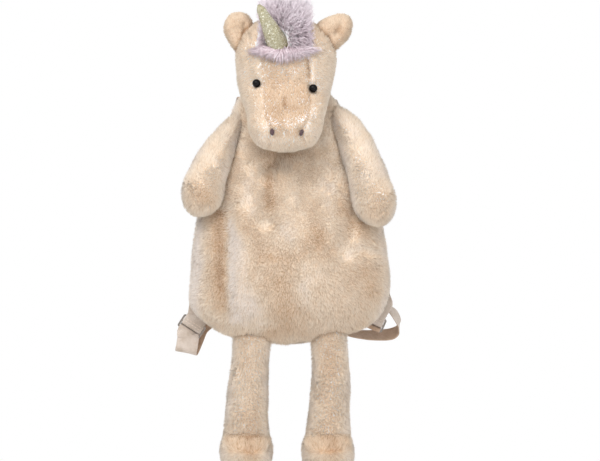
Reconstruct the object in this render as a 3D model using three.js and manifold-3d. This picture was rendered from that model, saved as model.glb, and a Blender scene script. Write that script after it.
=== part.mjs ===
// A child's plush unicorn backpack: a soft hollow bag with a stuffed head, arms and legs.
// Millimetres. +Z is up, +X is the viewer's right, and the face looks along -Y.
// The origin is the inside top of the hanging loop behind the neck, where the bag hangs.
import * as THREE from 'three';
import { mergeVertices } from 'three/addons/utils/BufferGeometryUtils.js';
import Module from 'manifold-3d';

const wasm = await Module();
wasm.setup();

// ---------- driving sizes ----------
const PILE = 2;             // the tables give the outline over the pile; the skin lies this far inside
const GAP = 0.35;           // clearance between neighbouring pieces
const WALL = 3;             // plush and backing of the bag
const WEB_WIDTH = 24;       // shoulder webbing
const WEB_THICK = 1.4;
const LOOP_WIDTH = 16;      // hanging loop webbing
const EYE_R = 4.6;
const SLIDER = { width: 29, height: 16, thick: 2, bar: 2.2, corner: 2.5 };
const ZIP = { z: -92, half: 62, slot: 8, tape: 26, coil: 6 };

// ---------- tables ----------
// z: height, cx: middle, hw: half width, yf: front, yb: back, ys: depth at which it is widest
const BAG = [
  { z: -14.0, cx: -1.6, hw: 9.0, yf: -24, yb: -13, ys: -18 },
  { z: -17.0, cx: -2.4, hw: 20.0, yf: -31, yb: -9.5, ys: -19 },
  { z: -23.5, cx: -2.8, hw: 33.5, yf: -38, yb: -7.5, ys: -20 },
  { z: -32.0, cx: -3.2, hw: 45.0, yf: -45, yb: -6.5, ys: -22 },
  { z: -41.5, cx: -3.0, hw: 54.5, yf: -50, yb: -6, ys: -25 },
  { z: -53.0, cx: -1.8, hw: 62.0, yf: -55, yb: -6, ys: -28 },
  { z: -66.0, cx: -1.1, hw: 68.0, yf: -60, yb: -6, ys: -30 },
  { z: -88.0, cx: -0.8, hw: 75.6, yf: -66, yb: -6, ys: -33 },
  { z: -115.5, cx: -0.8, hw: 85.0, yf: -73, yb: -6, ys: -37 },
  { z: -143.0, cx: -0.3, hw: 93.8, yf: -80, yb: -6, ys: -40 },
  { z: -171.5, cx: 0.5, hw: 102.3, yf: -86, yb: -6, ys: -43 },
  { z: -198.0, cx: 0.5, hw: 106.2, yf: -91, yb: -6, ys: -44 },
  { z: -225.5, cx: 1.2, hw: 109.7, yf: -94, yb: -6, ys: -45 },
  { z: -247.5, cx: 0.8, hw: 111.4, yf: -94, yb: -7, ys: -45 },
  { z: -264.0, cx: -0.5, hw: 111.1, yf: -91, yb: -8.5, ys: -45 },
  { z: -275.0, cx: -0.5, hw: 107.2, yf: -87, yb: -11, ys: -45 },
  { z: -286.0, cx: 0.3, hw: 97.6, yf: -80, yb: -15, ys: -45 },
  { z: -294.8, cx: -0.3, hw: 86.0, yf: -73, yb: -20, ys: -45 },
  { z: -301.4, cx: -6.0, hw: 69.0, yf: -66, yb: -25, ys: -45 },
  { z: -307.0, cx: -7.0, hw: 48.0, yf: -59, yb: -31, ys: -45 },
  { z: -311.0, cx: -4.5, hw: 30.0, yf: -53, yb: -37, ys: -45 },
  { z: -313.5, cx: -4.4, hw: 14.0, yf: -49, yb: -41, ys: -45 },
];
const HEAD = [
  { z: 48.5, cx: -4.4, hw: 13.0, yf: -68, yb: -47, ys: -58 },
  { z: 44.0, cx: -5.5, hw: 27.5, yf: -79, yb: -36, ys: -58 },
  { z: 36.5, cx: -5.0, hw: 40.0, yf: -89, yb: -28, ys: -58 },
  { z: 26.5, cx: -4.4, hw: 49.5, yf: -96, yb: -22, ys: -59 },
  { z: 13.0, cx: -3.9, hw: 55.5, yf: -101, yb: -19, ys: -60 },
  { z: 0.0, cx: -3.5, hw: 56.4, yf: -103, yb: -18, ys: -61 },
  { z: -13.0, cx: -3.5, hw: 54.7, yf: -106, yb: -19, ys: -64 },
  { z: -26.5, cx: -4.4, hw: 52.3, yf: -110, yb: -23, ys: -68 },
  { z: -39.5, cx: -4.4, hw: 49.0, yf: -117, yb: -30, ys: -74 },
  { z: -50.5, cx: -3.5, hw: 46.0, yf: -125, yb: -38, ys: -82 },
  { z: -61.5, cx: -3.3, hw: 42.9, yf: -132, yb: -50, ys: -90 },
  { z: -72.5, cx: -4.0, hw: 40.4, yf: -136, yb: -62, ys: -98 },
  { z: -81.5, cx: -4.0, hw: 37.7, yf: -137, yb: -73, ys: -103 },
  { z: -89.0, cx: -3.5, hw: 31.5, yf: -133, yb: -83, ys: -107 },
  { z: -95.5, cx: -3.0, hw: 22.5, yf: -126, yb: -92, ys: -109 },
  { z: -100.5, cx: -2.8, hw: 10.5, yf: -117, yb: -101, ys: -109 },
];
const EAR_LEFT = [
  { z: 51.5, cx: -55.5, hw: 5.0, yf: -66, yb: -58, ys: -62 },
  { z: 49.5, cx: -55.5, hw: 10.5, yf: -69, yb: -55, ys: -62 },
  { z: 46.0, cx: -55.3, hw: 13.6, yf: -71, yb: -53, ys: -62 },
  { z: 41.5, cx: -55.3, hw: 15.8, yf: -73, yb: -51, ys: -62 },
  { z: 35.0, cx: -55.5, hw: 17.0, yf: -74, yb: -50, ys: -62 },
  { z: 28.0, cx: -54.8, hw: 16.4, yf: -74, yb: -50, ys: -62 },
  { z: 21.5, cx: -53.5, hw: 14.4, yf: -74, yb: -50, ys: -62 },
  { z: 14.0, cx: -52.0, hw: 11.5, yf: -72, yb: -52, ys: -62 },
  { z: 7.0, cx: -50.0, hw: 7.5, yf: -69, yb: -55, ys: -62 },
];
const EAR_RIGHT = [
  { z: 50.5, cx: 56.5, hw: 4.5, yf: -66, yb: -58, ys: -62 },
  { z: 48.5, cx: 56.6, hw: 10.5, yf: -69, yb: -55, ys: -62 },
  { z: 44.5, cx: 53.0, hw: 16.8, yf: -71, yb: -53, ys: -62 },
  { z: 39.0, cx: 50.5, hw: 20.2, yf: -73, yb: -51, ys: -62 },
  { z: 33.0, cx: 49.0, hw: 20.8, yf: -74, yb: -50, ys: -62 },
  { z: 27.5, cx: 48.0, hw: 20.0, yf: -74, yb: -50, ys: -62 },
  { z: 21.0, cx: 46.5, hw: 17.4, yf: -73, yb: -51, ys: -62 },
  { z: 15.5, cx: 45.0, hw: 13.5, yf: -71, yb: -53, ys: -62 },
  { z: 8.0, cx: 42.0, hw: 8.0, yf: -68, yb: -56, ys: -62 },
];
const MANE = [
  { z: 70.0, cx: -3.3, hw: 12.0, yf: -73, yb: -50, ys: -62 },
  { z: 66.0, cx: -5.0, hw: 24.0, yf: -84, yb: -41, ys: -62 },
  { z: 59.5, cx: -7.0, hw: 32.5, yf: -93, yb: -34, ys: -63 },
  { z: 50.5, cx: -6.0, hw: 35.8, yf: -101, yb: -29, ys: -64 },
  { z: 39.5, cx: -5.5, hw: 37.5, yf: -107, yb: -27, ys: -66 },
  { z: 28.5, cx: -5.5, hw: 39.5, yf: -111, yb: -32, ys: -70 },
  { z: 17.5, cx: -5.2, hw: 42.0, yf: -113, yb: -42, ys: -76 },
  { z: 9.0, cx: -5.0, hw: 42.5, yf: -113, yb: -52, ys: -82 },
  { z: 3.0, cx: -6.0, hw: 33.5, yf: -112, yb: -62, ys: -88 },
  { z: -2.5, cx: -6.6, hw: 20.5, yf: -110, yb: -72, ys: -92 },
  { z: -7.0, cx: -6.0, hw: 6.0, yf: -108, yb: -84, ys: -96 },
];
const LEG_LEFT = [
  { z: -285.0, cx: -41.0, hw: 19.5, yf: -58, yb: -32, ys: -45 },
  { z: -300.0, cx: -41.0, hw: 22.0, yf: -62, yb: -28, ys: -45 },
  { z: -314.0, cx: -41.0, hw: 22.0, yf: -64, yb: -26, ys: -45 },
  { z: -330.0, cx: -42.4, hw: 21.4, yf: -66, yb: -24, ys: -45 },
  { z: -350.0, cx: -44.8, hw: 22.0, yf: -68, yb: -23, ys: -45 },
  { z: -370.0, cx: -45.6, hw: 23.6, yf: -69, yb: -22, ys: -46 },
  { z: -392.0, cx: -46.5, hw: 24.6, yf: -71, yb: -22, ys: -46 },
  { z: -405.0, cx: -46.8, hw: 25.6, yf: -72, yb: -22, ys: -47 },
  { z: -416.0, cx: -47.2, hw: 26.4, yf: -73, yb: -22, ys: -47 },
];
const LEG_RIGHT = [
  { z: -280.0, cx: 44.5, hw: 18.5, yf: -58, yb: -32, ys: -45 },
  { z: -295.0, cx: 44.5, hw: 21.0, yf: -62, yb: -28, ys: -45 },
  { z: -311.0, cx: 44.2, hw: 21.0, yf: -64, yb: -26, ys: -45 },
  { z: -330.0, cx: 45.1, hw: 21.4, yf: -66, yb: -24, ys: -45 },
  { z: -350.0, cx: 46.2, hw: 22.0, yf: -68, yb: -23, ys: -45 },
  { z: -370.0, cx: 45.6, hw: 23.1, yf: -69, yb: -22, ys: -46 },
  { z: -392.0, cx: 44.0, hw: 24.2, yf: -71, yb: -22, ys: -46 },
  { z: -405.0, cx: 43.2, hw: 25.5, yf: -72, yb: -22, ys: -47 },
  { z: -416.0, cx: 42.8, hw: 26.6, yf: -73, yb: -22, ys: -47 },
];
// feet are given about their leg: cx is added to the leg's lower middle
const FOOT = [
  { z: -412.35, cx: 0.0, hw: 26.6, yf: -73.4, yb: -21.8, ys: -47 },
  { z: -421.0, cx: 0.3, hw: 29.4, yf: -82, yb: -19, ys: -50 },
  { z: -430.0, cx: 0.3, hw: 30.0, yf: -88, yb: -18, ys: -52 },
  { z: -439.0, cx: 0.3, hw: 29.4, yf: -89, yb: -19, ys: -53 },
  { z: -447.0, cx: 0.0, hw: 26.0, yf: -85, yb: -23, ys: -53 },
  { z: -452.5, cx: 0.0, hw: 19.5, yf: -77, yb: -31, ys: -53 },
  { z: -455.5, cx: 0.0, hw: 10.0, yf: -65, yb: -42, ys: -53 },
];
// limbs and horn along their middle line: r is half the width seen from the front, d half the depth
const ARM_LEFT = [
  { x: -54.0, y: -38, z: -61, r: 6.0, d: 8.0 },
  { x: -58.0, y: -42, z: -67, r: 10.0, d: 11.0 },
  { x: -63.5, y: -48, z: -76, r: 13.0, d: 14.0 },
  { x: -70.0, y: -54, z: -87, r: 15.8, d: 16.5 },
  { x: -77.0, y: -61, z: -99.5, r: 18.8, d: 18.5 },
  { x: -83.5, y: -67, z: -113, r: 20.8, d: 20.0 },
  { x: -90.0, y: -72, z: -128, r: 22.8, d: 21.5 },
  { x: -94.6, y: -75, z: -144, r: 24.8, d: 22.5 },
  { x: -95.8, y: -77, z: -157, r: 22.6, d: 20.5 },
  { x: -95.4, y: -77, z: -166, r: 15.5, d: 14.5 },
  { x: -95.0, y: -77, z: -170.6, r: 6.0, d: 6.0 },
];
const ARM_RIGHT = [
  { x: 50.0, y: -37, z: -54, r: 6.0, d: 8.0 },
  { x: 54.0, y: -41, z: -60, r: 11.0, d: 12.0 },
  { x: 61.5, y: -48, z: -71, r: 15.8, d: 16.0 },
  { x: 69.0, y: -56, z: -84, r: 18.8, d: 18.5 },
  { x: 76.0, y: -63, z: -99, r: 20.9, d: 20.0 },
  { x: 82.0, y: -69, z: -115, r: 22.2, d: 21.0 },
  { x: 88.5, y: -75, z: -136, r: 24.2, d: 22.5 },
  { x: 93.3, y: -78, z: -154, r: 26.2, d: 23.5 },
  { x: 95.0, y: -79, z: -168, r: 22.8, d: 21.0 },
  { x: 95.4, y: -79, z: -177, r: 14.5, d: 13.5 },
  { x: 95.4, y: -79, z: -181.4, r: 5.0, d: 5.0 },
];
const HORN = [
  { x: -8.5, y: -86, z: 6, r: 12.6, d: 12.6 },
  { x: -11.5, y: -95, z: 15, r: 12.4, d: 12.4 },
  { x: -16.5, y: -104, z: 25.5, r: 11.1, d: 11.1 },
  { x: -22.0, y: -112, z: 37.0, r: 8.8, d: 8.8 },
  { x: -27.5, y: -119, z: 48.0, r: 6.4, d: 6.4 },
  { x: -31.0, y: -123, z: 55.0, r: 4.8, d: 4.8 },
  { x: -33.0, y: -125.4, z: 59.2, r: 1.8, d: 1.8 },
];
// soft folds pressed into the front of the bag, top to bottom
const FOLDS = [
  { x0: -13, z0: -100, x1: -24, z1: -122, width: 9, depth: 7 },
  { x0: -24, z0: -122, x1: -25, z1: -172, width: 10, depth: 4 },
  { x0: -70, z0: -165, x1: -71, z1: -268, width: 12, depth: 6 },
  { x0: 74, z0: -165, x1: 60, z1: -200, width: 11, depth: 4 },
];
// shoulder webbing, top anchor to slider; wx, wy, wz point across the webbing
const STRAP_LEFT = [
  { x: -39.0, y: -8.3, z: -68, wx: 1, wy: 0.13, wz: 0 },
  { x: -41.0, y: -8.3, z: -56, wx: 1, wy: 0.13, wz: 0.1 },
  { x: -43.0, y: -8.2, z: -47.5, wx: 1, wy: 0.1, wz: 0.1 },
  { x: -44.5, y: -4.5, z: -41.5, wx: 1, wy: 0.05, wz: 0.1 },
  { x: -45.5, y: 2.5, z: -39.5, wx: 1, wy: 0, wz: 0.1 },
  { x: -46.5, y: 9.5, z: -43, wx: 1, wy: 0, wz: 0 },
  { x: -48.5, y: 15.0, z: -52, wx: 1, wy: 0, wz: -0.15 },
  { x: -53.0, y: 22.0, z: -70, wx: 1, wy: 0, wz: -0.2 },
  { x: -60.0, y: 31.0, z: -98, wx: 1, wy: 0, wz: -0.22 },
  { x: -71.0, y: 38.0, z: -142, wx: 1, wy: 0, wz: -0.22 },
  { x: -82.0, y: 35.0, z: -188, wx: 1, wy: 0, wz: -0.2 },
  { x: -91.0, y: 20.0, z: -229, wx: 1, wy: 0, wz: -0.15 },
  { x: -97.0, y: -6.0, z: -258, wx: 1, wy: 0, wz: -0.1 },
  { x: -98.5, y: -14.5, z: -272, wx: 0.95, wy: 0, wz: -0.3 },
];
const STRAP_RIGHT = [
  { x: 36.0, y: -8.3, z: -68, wx: 1, wy: -0.13, wz: 0 },
  { x: 37.5, y: -8.3, z: -57, wx: 1, wy: -0.13, wz: -0.1 },
  { x: 39.0, y: -8.2, z: -50, wx: 1, wy: -0.1, wz: -0.1 },
  { x: 40.0, y: -4.5, z: -44.5, wx: 1, wy: -0.05, wz: -0.1 },
  { x: 41.0, y: 2.5, z: -42.5, wx: 1, wy: 0, wz: -0.1 },
  { x: 42.0, y: 9.5, z: -46, wx: 1, wy: 0, wz: 0 },
  { x: 44.5, y: 15.0, z: -54, wx: 1, wy: 0, wz: 0.15 },
  { x: 50.0, y: 22.0, z: -71, wx: 1, wy: 0, wz: 0.2 },
  { x: 58.0, y: 31.0, z: -98, wx: 1, wy: 0, wz: 0.22 },
  { x: 70.0, y: 38.0, z: -142, wx: 1, wy: 0, wz: 0.22 },
  { x: 83.0, y: 35.0, z: -188, wx: 1, wy: 0, wz: 0.2 },
  { x: 92.5, y: 21.0, z: -229, wx: 1, wy: 0, wz: 0.15 },
  { x: 98.5, y: -1.0, z: -256, wx: 1, wy: 0, wz: 0 },
  { x: 103.0, y: -9.0, z: -268, wx: 0.97, wy: 0, wz: -0.2 },
];
// slider plates: middle, and the direction across the webbing in the front view
const SLIDER_LEFT = { x: -107.4, y: -13, z: -293.7, ux: 0.835, uz: -0.55 };
const SLIDER_RIGHT = { x: 92.0, y: -9, z: -288.0, ux: 0.92, uz: -0.4 };
// slack lower webbing, from the slider round to its anchor behind the bag
const SLACK_LEFT = [
  { x: -111.2, y: -17.4, z: -305.5, wx: 0.87, wy: 0, wz: -0.5 },
  { x: -112.8, y: -18.6, z: -316, wx: 0.96, wy: 0, wz: -0.28 },
  { x: -113.8, y: -17.2, z: -320.5, wx: 0.98, wy: 0, wz: -0.2 },
  { x: -113.4, y: -13.0, z: -322.3, wx: 0.98, wy: 0, wz: -0.2 },
  { x: -111.0, y: -8.5, z: -318.5, wx: 0.98, wy: 0, wz: -0.2 },
  { x: -106.2, y: -5.0, z: -307, wx: 0.95, wy: 0, wz: -0.3 },
  { x: -99.5, y: -3.4, z: -292.5, wx: 0.88, wy: 0, wz: -0.47 },
  { x: -84.5, y: -4.0, z: -280.5, wx: 0.8, wy: 0.1, wz: -0.6 },
  { x: -68.0, y: -12.4, z: -271, wx: 0.8, wy: 0.14, wz: -0.6 },
];
const SLACK_RIGHT = [
  { x: 99, y: -0.6, z: -274.2, wx: 0.9, wy: 0.1, wz: -0.42 },
  { x: 103, y: 3.8, z: -272, wx: 0.62, wy: 0.64, wz: -0.4 },
  { x: 108.5, y: 6.6, z: -272.4, wx: 0.25, wy: 0.96, wz: 0 },
  { x: 114.5, y: 6.8, z: -277, wx: 0.2, wy: 0.95, wz: 0.25 },
  { x: 119, y: 6, z: -284, wx: 0.12, wy: 0.9, wz: 0.4 },
  { x: 121.5, y: 6.2, z: -291.5, wx: 0.05, wy: 0.87, wz: 0.5 },
  { x: 120, y: 8.3, z: -298, wx: 0, wy: 0.87, wz: 0.5 },
  { x: 112, y: 8.8, z: -302.3, wx: -0.1, wy: 0.86, wz: 0.5 },
  { x: 97, y: 4.5, z: -303.5, wx: -0.2, wy: 0.86, wz: 0.46 },
  { x: 82, y: -2, z: -303, wx: -0.25, wy: 0.87, wz: 0.42 },
  { x: 66, y: -9, z: -300.5, wx: -0.15, wy: 0.9, wz: 0.35 },
  { x: 52, y: -13.5, z: -296.5, wx: 0.2, wy: 0.9, wz: 0.2 },
  { x: 42, y: -17.5, z: -291, wx: 0.75, wy: 0.3, wz: 0.5 },
  { x: 36, y: -14.4, z: -282, wx: 0.8, wy: 0.05, wz: 0.6 },
];
const HANG_LOOP = [
  { x: -17.0, y: -6.9, z: -50, wx: 1, wy: 0, wz: 0 },
  { x: -18.0, y: -6.9, z: -34, wx: 1, wy: 0.1, wz: 0 },
  { x: -19.0, y: -5.0, z: -22, wx: 0.8, wy: 0.6, wz: 0 },
  { x: -16.5, y: -1.5, z: -10, wx: 0.3, wy: 0.95, wz: 0 },
  { x: -9.0, y: 0, z: -1.5, wx: 0.05, wy: 1, wz: 0 },
  { x: 0.0, y: 0, z: 0.7, wx: 0, wy: 1, wz: 0 },
  { x: 9.0, y: 0, z: -1.5, wx: -0.05, wy: 1, wz: 0 },
  { x: 16.5, y: -1.5, z: -10, wx: -0.3, wy: 0.95, wz: 0 },
  { x: 19.0, y: -5.0, z: -22, wx: -0.8, wy: 0.6, wz: 0 },
  { x: 18.0, y: -6.9, z: -34, wx: -1, wy: 0.1, wz: 0 },
  { x: 17.0, y: -6.9, z: -50, wx: -1, wy: 0, wz: 0 },
];

// ---------- helpers ----------
// a smooth curve through one column of a table; s runs from 0 to the last row
function at(table, key, s) {
  const last = table.length - 1;
  const i = Math.min(Math.max(Math.floor(s), 0), last - 1);
  const t = s - i;
  const v = (k) => {
    if (k < 0) return 2 * table[0][key] - table[1][key];
    if (k > last) return 2 * table[last][key] - table[last - 1][key];
    return table[k][key];
  };
  const [a, b, c, d] = [v(i - 1), v(i), v(i + 1), v(i + 2)];
  return 0.5 * (2 * b + (c - a) * t + (2 * a - 5 * b + 4 * c - d) * t * t + (3 * b - a - 3 * c + d) * t ** 3);
}

function rowAt(table, s) {
  const row = {};
  for (const key of Object.keys(table[0])) row[key] = at(table, key, s);
  return row;
}

// the closed skin over a stack of rings with equal counts, ended by a fan at each end
function skin(rings) {
  const n = rings[0].length;
  const pos = [];
  for (const ring of rings) for (const p of ring) pos.push(p.x, p.y, p.z);
  const ends = [rings[0], rings[rings.length - 1]].map((ring) => {
    const m = new THREE.Vector3();
    ring.forEach((p) => m.add(p));
    m.multiplyScalar(1 / n);
    pos.push(m.x, m.y, m.z);
    return pos.length / 3 - 1;
  });
  const idx = [];
  for (let r = 0; r < rings.length - 1; r++) {
    for (let k = 0; k < n; k++) {
      const a = r * n + k, b = r * n + (k + 1) % n, c = a + n, d = b + n;
      idx.push(a, c, b, b, c, d);
    }
  }
  const top = (rings.length - 1) * n;
  for (let k = 0; k < n; k++) {
    idx.push(ends[0], k, (k + 1) % n);
    idx.push(ends[1], top + (k + 1) % n, top + k);
  }
  const g = new THREE.BufferGeometry();
  g.setAttribute('position', new THREE.Float32BufferAttribute(pos, 3));
  g.setIndex(idx);
  return facingOut(g);
}

function facingOut(g) {
  const p = g.attributes.position, idx = g.index.array;
  const [a, b, c] = [new THREE.Vector3(), new THREE.Vector3(), new THREE.Vector3()];
  let volume = 0;
  for (let i = 0; i < idx.length; i += 3) {
    a.fromBufferAttribute(p, idx[i]);
    b.fromBufferAttribute(p, idx[i + 1]);
    c.fromBufferAttribute(p, idx[i + 2]);
    volume += a.dot(b.clone().cross(c));
  }
  if (volume < 0) {
    for (let i = 0; i < idx.length; i += 3) [idx[i + 1], idx[i + 2]] = [idx[i + 2], idx[i + 1]];
  }
  return g;
}

const power = (v, n) => Math.sign(v) * Math.abs(v) ** (2 / n);

// level slices: a fuller or flatter oval in each, nf and nb set how square the front and back are
function slices(table, { rings, segs, nf = 2.2, nb = 2.6, grow = 0, folds = [], shift = 0 }) {
  const low = table[table.length - 1].z, high = table[0].z;
  const mid = (low + high) / 2, stretch = 1 + grow / ((high - low) / 2);
  const out = [];
  for (let i = 0; i < rings; i++) {
    const row = rowAt(table, (i * (table.length - 1)) / (rings - 1));
    const z = mid + (row.z - mid) * stretch;
    const ring = [];
    for (let k = 0; k < segs; k++) {
      const a = (2 * Math.PI * k) / segs;
      const front = Math.sin(a) < 0;
      const n = front ? nf : nb;
      const depth = Math.max(front ? row.ys - row.yf : row.yb - row.ys, 1) + grow;
      const x = row.cx + shift + (row.hw + grow) * power(Math.cos(a), n);
      let y = row.ys + depth * power(Math.sin(a), n);
      if (front) for (const f of folds) y += dent(f, x, row.z) * -Math.sin(a);
      ring.push(new THREE.Vector3(x, y, z));
    }
    out.push(ring);
  }
  return skin(out);
}

// how far a fold presses in at a point of the front view
function dent(f, x, z) {
  const dx = f.x1 - f.x0, dz = f.z1 - f.z0;
  const t = Math.min(Math.max(((x - f.x0) * dx + (z - f.z0) * dz) / (dx * dx + dz * dz), 0), 1);
  const off = Math.hypot(x - f.x0 - t * dx, z - f.z0 - t * dz) / f.width;
  return f.depth * Math.exp(-off * off);
}

// rings square to a middle line
function limb(table, { rings, segs, grow = 0 }) {
  const point = (s) => { const r = rowAt(table, s); return new THREE.Vector3(r.x, r.y, r.z); };
  const last = table.length - 1;
  const out = [];
  for (let i = 0; i < rings; i++) {
    const s = (i * last) / (rings - 1);
    const row = rowAt(table, s);
    const tangent = point(Math.min(s + 0.05, last)).sub(point(Math.max(s - 0.05, 0))).normalize();
    const deep = new THREE.Vector3(0, 1, 0).addScaledVector(tangent, -tangent.y).normalize();
    const wide = tangent.clone().cross(deep);
    const middle = point(s);
    if (i === 0) middle.addScaledVector(tangent, -grow);
    if (i === rings - 1) middle.addScaledVector(tangent, grow);
    const ring = [];
    for (let k = 0; k < segs; k++) {
      const a = (2 * Math.PI * k) / segs;
      ring.push(middle.clone()
        .addScaledVector(wide, (row.r + grow) * Math.cos(a))
        .addScaledVector(deep, (row.d + grow) * Math.sin(a)));
    }
    out.push(ring);
  }
  return skin(out);
}

// a flat band along points, each with the direction across the band
function band(points, width, thick) {
  const out = points.map((p, i) => {
    const before = points[Math.max(i - 1, 0)].at, after = points[Math.min(i + 1, points.length - 1)].at;
    const tangent = after.clone().sub(before).normalize();
    const across = p.across.clone().addScaledVector(tangent, -p.across.dot(tangent)).normalize();
    const up = tangent.clone().cross(across);
    const corner = (a, b) => p.at.clone().addScaledVector(across, (a * width) / 2).addScaledVector(up, (b * thick) / 2);
    return [corner(-1, -1), corner(1, -1), corner(1, 1), corner(-1, 1)];
  });
  return skin(out);
}

function route(table, steps) {
  const out = [];
  for (let i = 0; i <= steps; i++) {
    const r = rowAt(table, (i * (table.length - 1)) / steps);
    out.push({ at: new THREE.Vector3(r.x, r.y, r.z), across: new THREE.Vector3(r.wx, r.wy, r.wz).normalize() });
  }
  return out;
}

function solid(geometry) {
  const g = geometry.clone();
  g.deleteAttribute('normal');
  g.deleteAttribute('uv');
  const m = mergeVertices(g, 1e-4);
  return new wasm.Manifold(new wasm.Mesh({
    numProp: 3,
    vertProperties: new Float32Array(m.attributes.position.array),
    triVerts: new Uint32Array(m.index.array),
  }));
}

function geometryOf(manifold) {
  const m = manifold.getMesh();
  const g = new THREE.BufferGeometry();
  g.setAttribute('position', new THREE.Float32BufferAttribute(m.vertProperties, 3));
  g.setIndex(Array.from(m.triVerts));
  return g;
}

const group = new THREE.Group();
function piece(name, shape, color, roughness, metalness = 0) {
  const geometry = shape instanceof THREE.BufferGeometry ? shape : geometryOf(shape);
  const flat = geometry.index ? geometry.toNonIndexed() : geometry;
  flat.computeVertexNormals();
  const mesh = new THREE.Mesh(flat, new THREE.MeshStandardMaterial({ color, roughness, metalness }));
  mesh.name = name;
  group.add(mesh);
  return mesh;
}

const PLUSH = 0xdac6ac, WEBBING = 0xcfc0ae;

// ---------- bag ----------
const BAG_MESH = { rings: 27, segs: 40, nf: 2.2, nb: 3, folds: FOLDS };
const bagOuter = solid(slices(BAG, { ...BAG_MESH, grow: -PILE }));
const bagGrown = solid(slices(BAG, { ...BAG_MESH, grow: -PILE + GAP }));
const bagInner = solid(slices(BAG, { ...BAG_MESH, rings: 16, segs: 24, grow: -PILE - WALL }));
const slot = new THREE.BoxGeometry(2 * (ZIP.half - 6), 22, ZIP.slot).translate(-1.2, -11, ZIP.z);
piece('bag_shell', bagOuter.subtract(bagInner).subtract(solid(slot)), PLUSH, 0.95);

// the back of the bag at a point of the back view
function backOf(x, z) {
  let s = 0;
  while (s < BAG.length - 1 && at(BAG, 'z', s) > z) s += 0.02;
  const r = rowAt(BAG, s);
  const t = Math.min(Math.abs(x - r.cx) / (r.hw - PILE), 1);
  return r.ys + (r.yb - PILE - r.ys) * (1 - t ** 3) ** (1 / 3);
}

// closed zip over the slot: woven tape, coil, and a plain slider with its tab
function strip(half, low, high, inner, outer, steps) {
  const rings = [];
  for (let i = 0; i <= steps; i++) {
    const x = -1.2 - half + (2 * half * i) / steps;
    const y = backOf(x, ZIP.z);
    rings.push([
      new THREE.Vector3(x, y + inner, low), new THREE.Vector3(x, y + outer, low),
      new THREE.Vector3(x, y + outer, high), new THREE.Vector3(x, y + inner, high),
    ]);
  }
  return solid(skin(rings));
}
const zipTape = strip(ZIP.half, ZIP.z - ZIP.tape / 2, ZIP.z + ZIP.tape / 2, 0.7, 1.9, 18);
const zipCoil = strip(ZIP.half - 3, ZIP.z - ZIP.coil / 2, ZIP.z + ZIP.coil / 2, 1.2, 3.1, 18);
const zipPull = new THREE.BoxGeometry(11, 4, 9).translate(44, backOf(44, ZIP.z) + 3.4, ZIP.z);
const zipTab = new THREE.BoxGeometry(7, 1.6, 24).translate(44, backOf(44, ZIP.z) + 4.6, ZIP.z - 14);
piece('zip', zipTape.add(zipCoil).add(solid(zipPull)).add(solid(zipTab)).subtract(bagGrown), 0xc2b29c, 0.6);

// ---------- head ----------
const HEAD_MESH = { rings: 20, segs: 26, nf: 2.5, nb: 2.3 };
const headSolid = solid(slices(HEAD, { ...HEAD_MESH, grow: -PILE })).subtract(bagGrown);
const headGrown = solid(slices(HEAD, { ...HEAD_MESH, grow: -PILE + GAP }));
piece('head', headSolid, PLUSH, 0.95);

const EAR_MESH = { rings: 11, segs: 16, nf: 2.2, nb: 2.2 };
const ears = [['ear_left', EAR_LEFT], ['ear_right', EAR_RIGHT]];
for (const [name, table] of ears) {
  piece(name, solid(slices(table, { ...EAR_MESH, grow: -PILE })).subtract(headGrown), PLUSH, 0.95);
}

const HORN_MESH = { rings: 11, segs: 18 };
piece('horn', solid(limb(HORN, HORN_MESH)).subtract(headGrown), 0xc1b98a, 0.5, 0.2);

let mane = solid(slices(MANE, { rings: 13, segs: 20, nf: 2.3, nb: 2.2, grow: -PILE })).subtract(headGrown);
mane = mane.subtract(solid(limb(HORN, { ...HORN_MESH, grow: GAP })));
for (const [, table] of ears) mane = mane.subtract(solid(slices(table, { ...EAR_MESH, grow: -PILE + GAP })));
piece('mane', mane, 0xcdb9c3, 0.95);

// the front of the head at a point of the front view
function frontOf(x, z) {
  let s = 0;
  while (s < HEAD.length - 1 && at(HEAD, 'z', s) > z) s += 0.02;
  const r = rowAt(HEAD, s);
  const t = Math.min(Math.abs(x - r.cx) / (r.hw - PILE), 1);
  return r.ys + (r.yf + PILE - r.ys) * (1 - t ** 2.5) ** (1 / 2.5);
}
for (const [name, x, z] of [['eye_left', -35.6, -26.3], ['eye_right', 26.6, -31.8]]) {
  const bead = new THREE.SphereGeometry(EYE_R, 16, 10).scale(1, 0.85, 1).translate(x, frontOf(x, z) - 0.8, z);
  piece(name, solid(bead).subtract(headGrown), 0x0b0908, 0.08);
}

// ---------- arms, legs, feet ----------
for (const [name, table] of [['arm_left', ARM_LEFT], ['arm_right', ARM_RIGHT]]) {
  piece(name, solid(limb(table, { rings: 12, segs: 16, grow: -PILE })).subtract(bagGrown).subtract(headGrown), PLUSH, 0.95);
}
const LEG_MESH = { rings: 10, segs: 16, nf: 2.1, nb: 2.1, grow: -PILE };
for (const [side, table] of [['left', LEG_LEFT], ['right', LEG_RIGHT]]) {
  piece(`leg_${side}`, solid(slices(table, LEG_MESH)).subtract(bagGrown), PLUSH, 0.95);
  const low = table[table.length - 1];
  const foot = slices(FOOT, { ...LEG_MESH, rings: 9, shift: low.cx });
  piece(`foot_${side}`, solid(foot), PLUSH, 0.95);
}

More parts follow.
